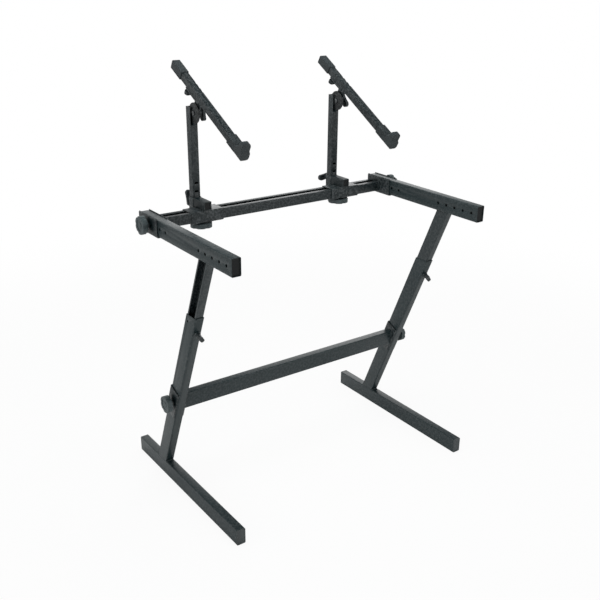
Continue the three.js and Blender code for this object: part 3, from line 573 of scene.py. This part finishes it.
# A plastic plug sits inside each end of an arm, set back a little from the sawn edge, with a
# raised rim round its face.
for side in sides:
    for end, way in (("front", -1), ("rear", 1)):
        low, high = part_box(f"{side}_arm_{end}_cap")
        middle = (low + high) / 2
        outer = high.y if way > 0 else low.y
        plug = bar(f"{side}_arm_{end}_plug", high - low, tube_corner / 2, 1, middle)
        dish(soften(plug, cap_edge, steps=3), low, high, outer, tube_corner / 3)
        belongs(soften(plug, 0), "deck", plug_plastic, "black_plastic", f"{side}_arm_{end}_cap")

# The lower crossbar is the same tube on edge. Each end is welded to a folded bracket that wraps the
# outer leg from behind, and a welded nut outside the bracket takes the knob's screw.
plate, plate_gap, fold_radius, nut_radius, nut_height = 0.003, 0.0003, 0.0045, 0.009, 0.003
bracket_edge, plate_edge = 0.0009, 0.0005
dark, light = (0.0025, 0.0075, 0.009, 1), (0.0045, 0.0115, 0.0135, 1)
# The brackets' pale edges are made stronger: a painted highlight along their folds and edges as well as
# rubbing.
bracket_coat = powder_coat("bracket_coat", dark, light, 0.36, wear_and_highlight=0.6)
bar_low, bar_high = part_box("lower_crossbar")
middle = (bar_low + bar_high) / 2
crossbar = tube("lower_bar_tube", bar_high - bar_low, tube_corner, 0, tube_wall, middle)
belongs(soften(crossbar, sawn_edge), "lower_bar", tube_coat, "black_steel", "lower_crossbar")
lower_length, lower_inset, lobed_hole = 0.092, 0.001, 0.0045
for side, out in sides.items():
    inside = tube_width + 2 * plate_gap
    reach = tube_depth + plate_gap - lower_inset
    wide, deep = inside + 2 * plate, reach + plate
    rear_face = tube_depth / 2 + plate_gap + plate
    blank_middle = (0, rear_face - deep / 2, 0)
    bracket = bar(f"{side}_leg_bracket", (wide, deep, lower_length), fold_radius, 2, blank_middle)
    hollow_middle = (0, rear_face - plate - deep, 0)
    cut(bracket, bar("hollow", (inside, 2 * deep, 2 * lower_length), fold_radius / 4, 2, hollow_middle))
    nut_middle = (out * (wide + nut_height) / 2, 0, 0)
    fuse(bracket, rod("nut", nut_radius, nut_height + plate_gap, nut_middle, (1, 0, 0)))
    cut(bracket, rod("bore", lobed_hole, 3 * plate, (out * wide / 2, 0, 0), (1, 0, 0)))
    knob_place = joint_at(f"{side}_lower_knob_turn")
    knob_place.x = (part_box(f"{side}_leg")[0].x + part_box(f"{side}_leg")[1].x) / 2
    settle(bracket, on_leg(knob_place))
    soften(bracket, bracket_edge)
    belongs(bracket, "lower_bar", bracket_coat, "black_steel", f"{side}_lower_bracket")
    x = bar_high.x if out > 0 else bar_low.x
    for end, y in (("front", bar_low.y), ("rear", bar_high.y)):
        ends = [(x, y, z) for z in (bar_low.z + tube_corner, bar_high.z - tube_corner)]
        weld_bead(f"{side}_lower_bar_{end}_weld", *ends, "lower_bar")
    level_ends = [(x, y, bar_high.z) for y in (bar_low.y + tube_corner, bar_high.y - tube_corner)]
    weld_bead(f"{side}_lower_bar_top_weld", *level_ends, "lower_bar")


# Lobed plastic knobs clamp the brackets on the tubes: a scalloped head with a shallow well on top, a
# round hub below it and a moulded-in screw.
lobes, scallop_share, scallop_out_share, star_edge = 6, 0.34, 0.72, 0.0024
well_share, well_depth, boss_share, boss_top_share, boss_sink = 0.62, 0.0012, 0.55, 0.75, 0.0004
star_plastic = moulded_plastic("star_plastic", (0.036, 0.05, 0.053, 1), 0.46)


def lobed_knob(name, across, thick, hub, hub_rise, screw, reach):
    """It stands on its seat at zero with the head above and the screw reaching down."""
    base = seat_gap + hub_rise
    head = rod(name, across / 2, thick, (0, 0, base + thick / 2), sides=96)
    scallop = across * scallop_share / 2
    for i in range(lobes):
        angle = (i + 0.5) / lobes * 2 * math.pi
        away = across / 2 + scallop * scallop_out_share
        spot = (away * math.cos(angle), away * math.sin(angle), base + thick / 2)
        cut(head, rod("scallop", scallop, 2 * thick, spot, sides=40))
    soften(head, star_edge, steps=4, angle=28)
    well = across * well_share / 2
    cut(head, rod("well", well, 2 * well_depth, (0, 0, base + thick), sides=64))
    boss_middle = (0, 0, base + thick * boss_top_share - boss_sink)
    fuse(head, rod("boss", well * boss_share, thick / 2, boss_middle, sides=48))
    hub_length = hub_rise + thick / 2
    fuse(head, rod("hub", hub / 2, hub_length, (0, 0, seat_gap + hub_length / 2), sides=48))
    screw_length = reach + base
    fuse(head, rod("screw", screw / 2, screw_length, (0, 0, screw_length / 2 - reach), sides=24))
    return soften(head, 0)


lobed_across, lobed_thick, lobed_hub, lobed_hub_rise, lobed_screw = 0.048, 0.014, 0.022, 0.006, 0.008
for side, out in sides.items():
    for kind in ("lower", "rail"):
        place = joint_at(f"{side}_{kind}_knob_turn")
        knob = lobed_knob(f"{side}_{kind}_star_knob", lobed_across, lobed_thick, lobed_hub, lobed_hub_rise,
                          lobed_screw, nut_height + plate)
        settle(knob, Matrix.Translation(place) @ turned(out * 90, "Y"))
        knob_body(knob, f"{side}_{kind}_knob", star_plastic)

# The rear rail is a rolled steel channel with its slot on top and turned-in lips. It is welded
# between two folded brackets, which hold the arms from below. Its coat is calmer and darker.
rail_wall, rail_slot, rail_corner, calm_peel = 0.002, 0.017, 0.0022, 0.000005
dark, light = (0.0015, 0.0065, 0.008, 1), (0.003, 0.0095, 0.0115, 1)
upper_coat = powder_coat("upper_coat", dark, light, 0.38, calm_peel, 0.4)
rail_low, rail_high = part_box("rear_rail")
middle = (rail_low + rail_high) / 2
rail = tube("slotted_rail", rail_high - rail_low, rail_corner, 0, rail_wall, middle)
slot_size = (2 * (rail_high.x - rail_low.x), rail_slot, 3 * rail_wall)
cut(rail, block("slot", slot_size, (middle.x, middle.y, rail_high.z)))
belongs(soften(rail, sawn_edge), "rail", upper_coat, "black_steel", "rear_rail")
for side, out in sides.items():
    low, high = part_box(f"{side}_rail_bracket")
    arm_low, arm_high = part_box(f"{side}_arm")
    centre = (arm_low.x + arm_high.x) / 2
    inside = tube_width + 2 * plate_gap
    wide = inside + 2 * plate
    length = high.y - low.y
    tall = high.z - low.z
    middle = Vector((centre, (low.y + high.y) / 2, (low.z + high.z) / 2))
    bracket = bar(f"{side}_arm_bracket", (wide, length, tall), fold_radius, 1, middle)
    hollow_middle = middle + Vector((0, 0, plate + tall / 2))
    cut(bracket, bar("hollow", (inside, 2 * length, 2 * tall), fold_radius / 4, 1, hollow_middle))
    knob_place = joint_at(f"{side}_rail_knob_turn")
    nut_middle = (centre + out * (wide + nut_height) / 2, knob_place.y, knob_place.z)
    fuse(bracket, rod("nut", nut_radius, nut_height + plate_gap, nut_middle, (1, 0, 0)))
    bore_middle = (centre + out * wide / 2, knob_place.y, knob_place.z)
    cut(bracket, rod("bore", lobed_hole, 3 * plate, bore_middle, (1, 0, 0)))
    belongs(soften(bracket, plate_edge), "rail", bracket_coat, "black_steel", f"{side}_rail_bracket")
    x = rail_high.x if out > 0 else rail_low.x
    for end, y in (("front", rail_low.y), ("rear", rail_high.y)):
        ends = [(x, y, z) for z in (rail_low.z + rail_corner, rail_high.z - rail_corner)]
        weld_bead(f"{side}_rail_{end}_weld", *ends, "rail")

# A folded and welded sleeve slides on the rail and carries each post. Below it a welded nut and a
# big lobed knob clamp it, and a hollow square beam on top runs back to the post's collar.
sleeve_wall, sleeve_corner, big_across, big_thick, big_rise = 0.002, 0.0025, 0.06, 0.0125, 0.0015
clamp_nut = 0.002
for side in sides:
    low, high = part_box(f"{side}_clamp_sleeve")
    knob_place = joint_at(f"{side}_clamp_knob_turn")
    size = high - low
    size.z -= clamp_nut
    middle = (low + high) / 2
    middle.z += clamp_nut / 2
    sleeve = tube(f"{side}_rail_sleeve", size, sleeve_corner, 0, sleeve_wall, middle)
    nut_middle = (knob_place.x, knob_place.y, low.z + clamp_nut / 2 + plate_gap / 2)
    fuse(sleeve, rod("nut", nut_radius, clamp_nut + plate_gap, nut_middle))
    cut(sleeve, rod("bore", lobed_hole, 4 * sleeve_wall, (knob_place.x, knob_place.y, low.z)))
    soften(sleeve, plate_edge)
    belongs(sleeve, f"{side}_clamp", bracket_coat, "black_steel", f"{side}_clamp_sleeve")
    big = lobed_knob(f"{side}_sleeve_star_knob", big_across, big_thick, lobed_hub, big_rise, lobed_screw,
                     clamp_nut + sleeve_wall)
    settle(big, Matrix.Translation((knob_place.x, knob_place.y, low.z)) @ turned(180, "X"))
    knob_body(big, f"{side}_clamp_knob", star_plastic)

# The socket is a square collar, open at both ends, welded to the beam. The post slides in it, and a
# winged knob behind presses on the post through a round boss.
beam_width, beam_height, beam_wall, collar_wall, socket_corner = 0.0225, 0.0235, 0.0025, 0.0021, 0.0015
post_side, post_gap, post_span, post_wing = 0.022, 0.0003, 0.046, 0.017
post_wing_thick, post_rise = 0.01, 0.01
post_turn = {"left": 83, "right": -9}
for side in sides:
    low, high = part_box(f"{side}_post_socket")
    knob_place = joint_at(f"{side}_post_knob_turn")
    centre = (low.x + high.x) / 2
    collar_side = post_side + 2 * (post_gap + collar_wall)
    collar_rear = high.y - boss_reach
    collar_middle = Vector((centre, collar_rear - collar_side / 2, (low.z + high.z) / 2))
    collar_size = (collar_side, collar_side, high.z - low.z)
    socket = bar(f"{side}_collar", collar_size, socket_corner + collar_wall, 2, collar_middle)
    sleeve_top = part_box(f"{side}_clamp_sleeve")[1].z + plate_gap
    beam_end = collar_middle.y - collar_side / 2 + collar_wall / 2
    beam_middle = (centre, (low.y + beam_end) / 2, sleeve_top + beam_height / 2)
    beam_size = (beam_width, beam_end - low.y, beam_height)
    fuse(socket, tube("beam", beam_size, socket_corner, 1, beam_wall, beam_middle))
    boss_middle = (centre, collar_rear + boss_reach / 2 - collar_wall / 4, knob_place.z)
    fuse(socket, rod("boss", small_hub / 2, boss_reach + collar_wall / 2, boss_middle, (0, 1, 0)))
    way = post_side + 2 * post_gap
    cut(socket, bar("way", (way, way, 2 * (high.z - low.z)), socket_corner, 2, collar_middle))
    cut(socket, rod("bore", screw_hole, 4 * boss_reach, (centre, collar_rear, knob_place.z), (0, 1, 0)))
    belongs(soften(socket, plate_edge), f"{side}_clamp", bracket_coat, "black_steel", f"{side}_post_socket")
    knob = winged_knob(f"{side}_post_wing", post_span, post_wing, post_wing_thick, small_hub, post_rise,
                       small_screw, boss_reach + collar_wall)
    turn = turned(post_turn[side], "Z")
    seat = Matrix.Translation((centre, high.y, knob_place.z))
    settle(knob, seat @ turned(-90, "X") @ turn)
    knob_body(knob, f"{side}_post_knob", knob_plastic)

# A plastic plug closes the front end of each socket's beam, set back a little from its sawn edge.
for side in sides:
    low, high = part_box(f"{side}_beam_plug")
    plug = bar(f"{side}_beam_end", high - low, socket_corner, 1, (low + high) / 2)
    dish(soften(plug, cap_edge, steps=3), low, high, low.y, socket_corner / 2)
    belongs(soften(plug, 0), f"{side}_clamp", plug_plastic, "black_plastic", f"{side}_beam_plug")

# The posts are square tubes with two level slots low in front and a notch at the top. A toothed
# steel disc, the fixed half of the hinge, stands in the notch on a web welded to the rear wall.
post_wall, post_corner = 0.0018, 0.0015
post_slot, post_slot_corner = (0.0115, 0.022, 0.0055), 0.0025
post_slot_rise, post_slot_pitch, post_slots = 0.062, 0.023, 2
notch_height, hinge_drop, disc_radius, moving_radius = 0.046, 0.015, 0.027, 0.021
disc_thick, disc_gap = 0.004, 0.00015
bolt_radius, bolt_hole = 0.003, 0.0034
teeth, tooth_depth, groove_share, tooth_from_share, tooth_to_share = 36, 0.0009, 1.4, 0.62, 0.97
web_inset = 0.0004
# The hinge discs' coat is near black as painted shade of the notch they stand in, and its pale edges paint
# the highlight on their rims.
disc_coat = powder_coat("disc_coat", (0.001, 0.002, 0.0025, 1), (0.002, 0.0035, 0.004, 1), 0.55, wear_and_highlight=0.5)


def toothed_disc(name, radius, middle, face_x):
    """A disc square to X with radial V grooves in the face at face_x."""
    disc = rod(name, radius, disc_thick, middle, (1, 0, 0), sides=96)
    soften(disc, plate_edge)
    start, end = tooth_from_share * radius, tooth_to_share * radius
    nothing_selected()
    grooves = []
    for i in range(teeth):
        turn = Matrix.Rotation(2 * math.pi * i / teeth, 4, "X")
        groove = block("groove", (tooth_depth * groove_share, end - start, tooth_depth * groove_share))
        outwards = Matrix.Translation((0, (start + end) / 2, 0))
        groove.data.transform(turn @ outwards @ turned(45, "Y"))
        groove.data.transform(Matrix.Translation((face_x, middle[1], middle[2])))
        grooves.append(groove)
    for groove in grooves:
        groove.select_set(True)
    bpy.context.view_layer.objects.active = grooves[0]
    bpy.ops.object.join()
    return cut(disc, grooves[0])


for side in sides:
    low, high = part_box(f"{side}_post")
    stand_point = Vector(((low.x + high.x) / 2, high.y - post_side / 2, low.z))
    pivot = joint_at(f"{side}_tilt") - stand_point
    post_length = high.z - low.z - disc_radius + hinge_drop
    size = (post_side, post_side, post_length)
    post = tube(f"{side}_square_post", size, post_corner, 2, post_wall, (0, 0, post_length / 2))
    notch = (post_side - 2 * post_wall, 4 * post_wall, 2 * notch_height)
    cut(post, block("notch", notch, (0, -post_side / 2, post_length)))
    for i in range(post_slots):
        spot = (0, -post_side / 2, post_slot_rise + i * post_slot_pitch)
        cut(post, bar("post_slot", post_slot, post_slot_corner, 1, spot))
    soften(post, sawn_edge)
    plate_x = -disc_gap - disc_thick / 2
    web_rear = post_side / 2 - post_wall / 2
    web_middle = (plate_x, (web_rear + pivot.y) / 2, post_length - notch_height / 2 - disc_thick)
    web_size = (disc_thick - 2 * web_inset, web_rear - pivot.y, 2 * moving_radius)
    disc = toothed_disc("fixed_disc", disc_radius, (plate_x, pivot.y, pivot.z), -disc_gap)
    fuse(post, block("web", web_size, web_middle))
    axle = (0, pivot.y, pivot.z)
    for piece in (post, disc):
        cut(piece, rod("bolt_way", bolt_hole, 2 * post_side, axle, (1, 0, 0)))
        settle(soften(piece, 0), Matrix.Translation(stand_point))
    belongs(post, f"{side}_post", upper_coat, "black_steel", f"{side}_post")
    disc.name = f"{side}_fixed_disc"
    belongs(disc, f"{side}_post", disc_coat, "black_steel")

# A zinc-plated bolt is the hinge's axle. Its hexagon head with a washer lies against the fixed disc,
# and its shank runs out through the post's side wall into the wing nut.


def zinc_plate(name, colour, rough):
    """Bright zinc that has dulled in soft patches."""
    paint = Paint(name, Metallic=1.0)
    spot = paint.place()
    cloud = paint.noise(spot, patch_scale, 4)
    scratch = paint.noise(paint.place(stretch=(1, 1, 0.1)), scratch_scale, 2)
    dull = tuple(0.72 * c for c in colour[:3]) + (1,)
    shade = paint.between(paint.above(cloud, 0.35, 0.7), colour, dull)
    roughness = rough + 0.25 * (cloud - 0.5) + 0.1 * (scratch - 0.5)
    return paint.finish(shade, roughness, paint.relief(scratch, fine_grain))


patch_scale, scratch_scale = 260, 2600
washer_thick, bolt_head_radius, bolt_edge, small_edge = 0.0009, 0.0065, 0.0006, 0.0003
zinc = zinc_plate("dulled_zinc", (0.2, 0.21, 0.215, 1), 0.32)
for side in sides:
    low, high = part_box(f"{side}_hinge_bolt")
    y, z = (low.y + high.y) / 2, (low.z + high.z) / 2
    fixed_face = joint[f"{side}_tilt"]["pos_m"][0] - disc_gap - disc_thick
    head_length = fixed_face - seat_gap - low.x
    hexagon = rod(f"{side}_axle_bolt", bolt_head_radius, head_length - washer_thick,
                  (low.x + (head_length - washer_thick) / 2, y, z), (1, 0, 0), sides=6)
    soften(hexagon, bolt_edge, steps=3)
    washer_middle = (low.x + head_length - washer_thick / 2, y, z)
    fuse(hexagon, rod("washer", bolt_head_radius, washer_thick, washer_middle, (1, 0, 0)))
    shank_start = low.x + head_length / 2
    shank_middle = ((high.x + shank_start) / 2, y, z)
    fuse(hexagon, rod("shank", bolt_radius, high.x - shank_start, shank_middle, (1, 0, 0)))
    belongs(soften(hexagon, 0), f"{side}_post", zinc, "bolt_steel", f"{side}_hinge_bolt")

# A plastic wing nut outside the post tightens the hinge. Its nose goes in through the side wall and
# presses the moving disc on the fixed one.
tilt_span, tilt_width, tilt_nose = 0.044, 0.018, 0.0045
tilt_turn = {"left": 0, "right": -40}
for side in sides:
    place = joint_at(f"{side}_tilt")
    knob = winged_knob(f"{side}_tilt_wing", tilt_span, tilt_width, small_thick, small_hub, small_rise,
                       small_screw, 0)
    seat_x = post_side / 2
    nose_start = disc_gap + disc_thick + seat_gap
    nose_length = seat_x + 2 * seat_gap - nose_start
    fuse(knob, rod("nose", tilt_nose, nose_length, (0, 0, 2 * seat_gap - nose_length / 2)))
    bore_end = small_rise + seat_gap
    bore_length = 2 * (seat_x + bore_end)
    bore_middle = (0, 0, bore_end - bore_length / 2)
    cut(knob, rod("bore", bolt_hole, bore_length, bore_middle, sides=28))
    turn = turned(90, "Y") @ turned(tilt_turn[side], "Z")
    settle(soften(knob, 0, angle=38), Matrix.Translation(place + Vector((seat_x, 0, 0))) @ turn)
    knob_body(knob, f"{side}_tilt_knob", knob_plastic)

# The moving half of the hinge is a smaller toothed disc with a neck, welded under a short folded
# channel. The upper arm lies on the channel, and a bolt from inside the arm clamps it there.
rise, carrier_wall, carrier_height, carrier_front, carrier_rear = 0.044, 0.0025, 0.006, 0.014, 0.054
neck_width, carrier_width, reach_bolt_place, reach_side = 0.03, 0.0195, 0.046, 0.0195
carrier_corner, taper_length, neck_weld_share, neck_bead = 0.0015, 0.03, 0.42, 0.0014


def on_arm(side):
    """The upper arm's own axes at the hinge: Y up along the arm to its rear and Z out of its top."""
    run = Vector(joint[f"{side}_reach_slide"]["axis"])
    slope = Matrix.Rotation(math.atan2(run.z, run.y), 4, "X")
    return Matrix.Translation(joint_at(f"{side}_tilt")) @ slope


for side in sides:
    web_top = rise - seat_gap
    web_bottom = web_top - carrier_wall
    channel_length = carrier_front + carrier_rear
    channel_middle = (0, (carrier_rear - carrier_front) / 2, web_top - carrier_height / 2)
    size = (carrier_width, channel_length, carrier_height)
    head = bar(f"{side}_arm_channel", size, carrier_corner, 1, channel_middle)
    hollow = (carrier_width - 2 * carrier_wall, 2 * channel_length, carrier_height)
    cut(head, block("hollow", hollow, (0, channel_middle[1], web_bottom - carrier_height / 2)))
    soften(head, sawn_edge)
    leaf_x = disc_gap + disc_thick / 2
    disc = toothed_disc("moving_disc", moving_radius, (leaf_x, 0, 0), disc_gap)
    neck_height = web_bottom + carrier_wall / 2
    neck_size = (disc_thick - 2 * web_inset, neck_width, neck_height)
    fuse(head, bar("neck", neck_size, sawn_edge, 2, (leaf_x, 0, neck_height / 2)))
    for piece in (head, disc):
        cut(piece, rod("bolt_way", bolt_hole, 4 * disc_thick, (0, 0, 0), (1, 0, 0)))
    reach_seat = (0, reach_bolt_place, web_bottom)
    cut(head, rod("reach_way", bolt_hole, 4 * carrier_wall, reach_seat))
    taper = block("taper", (2 * carrier_width, taper_length, carrier_height))
    taper.data.transform(Matrix.Rotation(math.atan2(carrier_height, taper_length), 4, "X"))
    taper_middle = (0, carrier_rear, web_bottom - carrier_height / 2 - sawn_edge)
    taper.data.transform(Matrix.Translation(taper_middle))
    cut(head, taper)
    settle(soften(disc, 0), on_arm(side))
    settle(soften(head, 0), on_arm(side))
    disc.name = f"{side}_moving_disc"
    belongs(disc, f"{side}_tilt_head", disc_coat, "black_steel")
    belongs(head, f"{side}_tilt_head", bracket_coat, "black_steel", f"{side}_tilt_head")
    for face, x in (("outer", disc_gap), ("inner", disc_gap + disc_thick)):
        reaches = [way * neck_width * neck_weld_share for way in (-1, 1)]
        ends = [on_arm(side) @ Vector((x, reach, web_bottom)) for reach in reaches]
        weld_bead(f"{side}_neck_weld_{face}", *ends, f"{side}_tilt_head", neck_bead)

# The reach bolt's square head lies inside the arm across its slot. A small wing nut below the channel
# tightens it.
reach_wall, reach_head, reach_head_thick, reach_rise = 0.0015, 0.011, 0.003, 0.005
reach_wing = 0.018
for side in sides:
    head_bottom = rise + reach_wall + seat_gap
    head_middle = (0, reach_bolt_place, head_bottom + reach_head_thick / 2)
    head_size = (reach_head, reach_head, reach_head_thick)
    bolt = bar(f"{side}_clamping_bolt", head_size, sawn_edge, 2, head_middle)
    shank_bottom = web_bottom - seat_gap - reach_rise
    shank_length = head_bottom - shank_bottom + reach_head_thick / 2
    shank_middle = (0, reach_bolt_place, shank_bottom + shank_length / 2)
    fuse(bolt, rod("shank", bolt_radius, shank_length, shank_middle, sides=28))
    settle(soften(bolt, small_edge), on_arm(side))
    belongs(bolt, f"{side}_tilt_head", zinc, "bolt_steel", f"{side}_reach_bolt")
    knob = winged_knob(f"{side}_reach_wing", small_span, reach_wing, small_thick, small_hub, reach_rise,
                       small_screw, 0)
    bore_top = reach_rise + 2 * seat_gap
    cut(knob, rod("bore", bolt_hole, 4 * bore_top, (0, 0, -bore_top), sides=28))
    seat = Matrix.Translation((0, reach_bolt_place, web_bottom)) @ turned(180, "X")
    settle(soften(knob, 0, angle=38), on_arm(side) @ seat)
    knob_body(knob, f"{side}_reach_knob", knob_plastic)

# The upper arms are square tubes with a long slot below for the bolt. Three sloping teeth are pressed
# into the upper right edge between the channel and the boot, over a filler inside the tube.
slot_width, slot_round_share, slot_length, arm_corner = 0.007, 0.49, 0.13, 0.0015
arm_front, arm_rear = -0.212, 0.137
forward = {"left": 0.0, "right": 0.017}
notch_from_boot, notch_pitch, notch_count = 0.051, 0.018, 3
notch_depth, notch_width = 0.003, 0.003
boot_length, boot_end, wrap_gap, wrap_wall = 0.055, 0.004, 0.0003, 0.0018
wrap_side = reach_side + 2 * (wrap_gap + wrap_wall)
for side in sides:
    front, rear = arm_front - forward[side], arm_rear - forward[side]
    middle_z = rise + reach_side / 2
    size = (reach_side, rear - front, reach_side)
    arm = tube(f"{side}_upper_arm", size, arm_corner, 1, reach_wall, (0, (front + rear) / 2, middle_z))
    slot_size = (slot_width, slot_length, 4 * reach_wall)
    slot_middle = (0, reach_bolt_place - forward[side], rise)
    cut(arm, bar("slot", slot_size, slot_width * slot_round_share, 2, slot_middle, steps=8))
    first = rear + boot_end - boot_length - notch_from_boot + notch_pitch
    corner = (reach_side / 2, rise + reach_side)
    filler_size = (2 * notch_width, notch_count * notch_pitch, 2 * notch_depth)
    filler_middle = (corner[0] - notch_width - reach_wall / 2, first - filler_size[1] / 2,
                     corner[1] - notch_depth - reach_wall / 2)
    fuse(arm, block("filler", filler_size, filler_middle))
    for i in range(notch_count):
        y = first - (i + 0.5) * notch_pitch
        notch = block("notch", (2 * notch_width, notch_pitch, 2 * notch_depth))
        notch.data.transform(Matrix.Rotation(math.atan2(notch_depth, notch_pitch), 4, "X"))
        notch.data.transform(Matrix.Translation((corner[0], y, corner[1] + notch_depth / 2)))
        cut(arm, notch)
    settle(soften(arm, sawn_edge), on_arm(side))
    belongs(arm, f"{side}_reach_arm", upper_coat, "black_steel", f"{side}_reach_arm")


# A ribbed rubber grip is pushed over the front of each upper arm. Its grooves run along the arm.
def soft_rubber(name, colour, rough):
    """Matt black rubber with a fine pebbled skin and a faint grey bloom."""
    paint = Paint(name, Metallic=0.0)
    spot = paint.place()
    bloom = paint.noise(spot, bloom_scale, 4, 0.6)
    pebble = paint.noise(spot, pebble_scale, 3, 0.6)
    grey = tuple(1.5 * c for c in colour[:3]) + (1,)
    shade = paint.between(paint.above(bloom, 0.3, 0.75), colour, grey)
    roughness = rough + 0.1 * (bloom - 0.5) + 0.1 * (pebble - 0.5)
    return paint.finish(shade, roughness, paint.relief(pebble, pebble_depth))


bloom_scale, pebble_scale, pebble_depth = 55, 1500, 0.000015
rubber = soft_rubber("black_rubber", (0.019, 0.0255, 0.0275, 1), 0.6)
grip_length, groove_width, groove_depth, groove_start, grooves_per_side = 0.037, 0.0011, 0.0008, 0.003, 6
for side in sides:
    front = arm_front - forward[side]
    grip_middle = (0, front + grip_length / 2, middle_z)
    grip_size = (wrap_side, grip_length, wrap_side)
    grip = tube(f"{side}_ribbed_grip", grip_size, wrap_wall, 1, wrap_wall, grip_middle)
    pitch = (wrap_side - 2 * wrap_wall) / grooves_per_side
    for across, along in (((1, 0, 0), 0), ((0, 0, 1), 2)):
        for way in (-1, 1):
            for i in range(grooves_per_side):
                offset = (i - (grooves_per_side - 1) / 2) * pitch
                spot = [0, front + grip_length / 2 + groove_start, middle_z]
                spot[along] += offset
                spot[2 - along] += way * wrap_side / 2
                size = [2 * groove_depth, grip_length, 2 * groove_depth]
                size[along] = groove_width
                cut(grip, block("groove", size, spot))
    settle(soften(grip, small_edge), on_arm(side))
    belongs(grip, f"{side}_reach_arm", rubber, "rubber", f"{side}_reach_grip")

# A soft rubber lip on the arm's front end keeps the keyboard from sliding off. It is moulded in one
# piece: a round buffer below, a tongue set back above it and a hollow slope down to the grip.
lip_width, lip_depth, lip_below, lip_above, lip_step, lip_corner = 0.026, 0.035, 0.016, 0.034, 0.005, 0.007
lip_round, lip_back, lip_waist, lip_skin = 0.0115, 0.014, 0.0102, 0.0008
for side in sides:
    front = arm_front - forward[side]
    grip_top = reach_side / 2 + wrap_gap + wrap_wall
    buffer_size = (lip_width, lip_depth - seat_gap, lip_below + lip_waist)
    buffer_middle = (0, -(lip_depth + seat_gap) / 2, (lip_waist - lip_below) / 2)
    lip = bar(f"{side}_rubber_lip", buffer_size, lip_corner, 0, buffer_middle)
    tongue_size = (lip_width, lip_depth - lip_step - lip_back, lip_above + lip_below / 2)
    tongue_middle = (0, -(lip_depth - lip_step + lip_back) / 2, lip_above - tongue_size[2] / 2)
    fuse(lip, bar("tongue", tongue_size, lip_corner, 0, tongue_middle))
    slope_radius = lip_back + lip_corner / 2
    slope_size = (lip_width, slope_radius, slope_radius)
    slope_middle = (0, -seat_gap - slope_radius / 2, grip_top - lip_step / 2 + slope_radius / 2)
    slope = block("slope", slope_size, slope_middle)
    slope_hollow = (0, -seat_gap, grip_top + slope_radius)
    fuse(lip, cut(slope, rod("hollow", slope_radius, 2 * lip_width, slope_hollow, (1, 0, 0), sides=64)))
    tall = lip_above + lip_below
    front_view = (0, -lip_depth / 2, (lip_above - lip_below) / 2)
    view_size = (lip_width, 2 * lip_depth, tall)
    combine(lip, bar("front_view", view_size, lip_round, 1, front_view, steps=10), "INTERSECT")
    modify(lip, "REMESH", mode="VOXEL", voxel_size=lip_skin)
    modify(lip, "SMOOTH", factor=0.5, iterations=12)
    settle(lip, on_arm(side) @ Matrix.Translation((0, front, middle_z)))
    bpy.ops.object.shade_smooth()
    belongs(lip, f"{side}_reach_arm", rubber, "rubber", f"{side}_reach_lip")

# A rubber boot closes the arm's rear end. Its closed end and its mouth are rounded.
boot_corner, boot_round = 0.0028, 0.0022
for side in sides:
    rear = arm_rear - forward[side]
    end = rear + boot_end
    boot_middle = (0, end - boot_length / 2, middle_z)
    boot = bar(f"{side}_rubber_boot", (wrap_side, boot_length, wrap_side), boot_corner, 1, boot_middle)
    soften(boot, boot_round, steps=4, angle=60)
    pocket = reach_side + 2 * wrap_gap
    pocket_size = (pocket, 2 * boot_length, pocket)
    pocket_middle = (0, rear + wrap_gap - boot_length, middle_z)
    cut(boot, bar("pocket", pocket_size, arm_corner, 1, pocket_middle))
    settle(soften(boot, 0), on_arm(side))
    belongs(boot, f"{side}_reach_arm", rubber, "rubber", f"{side}_reach_boot")
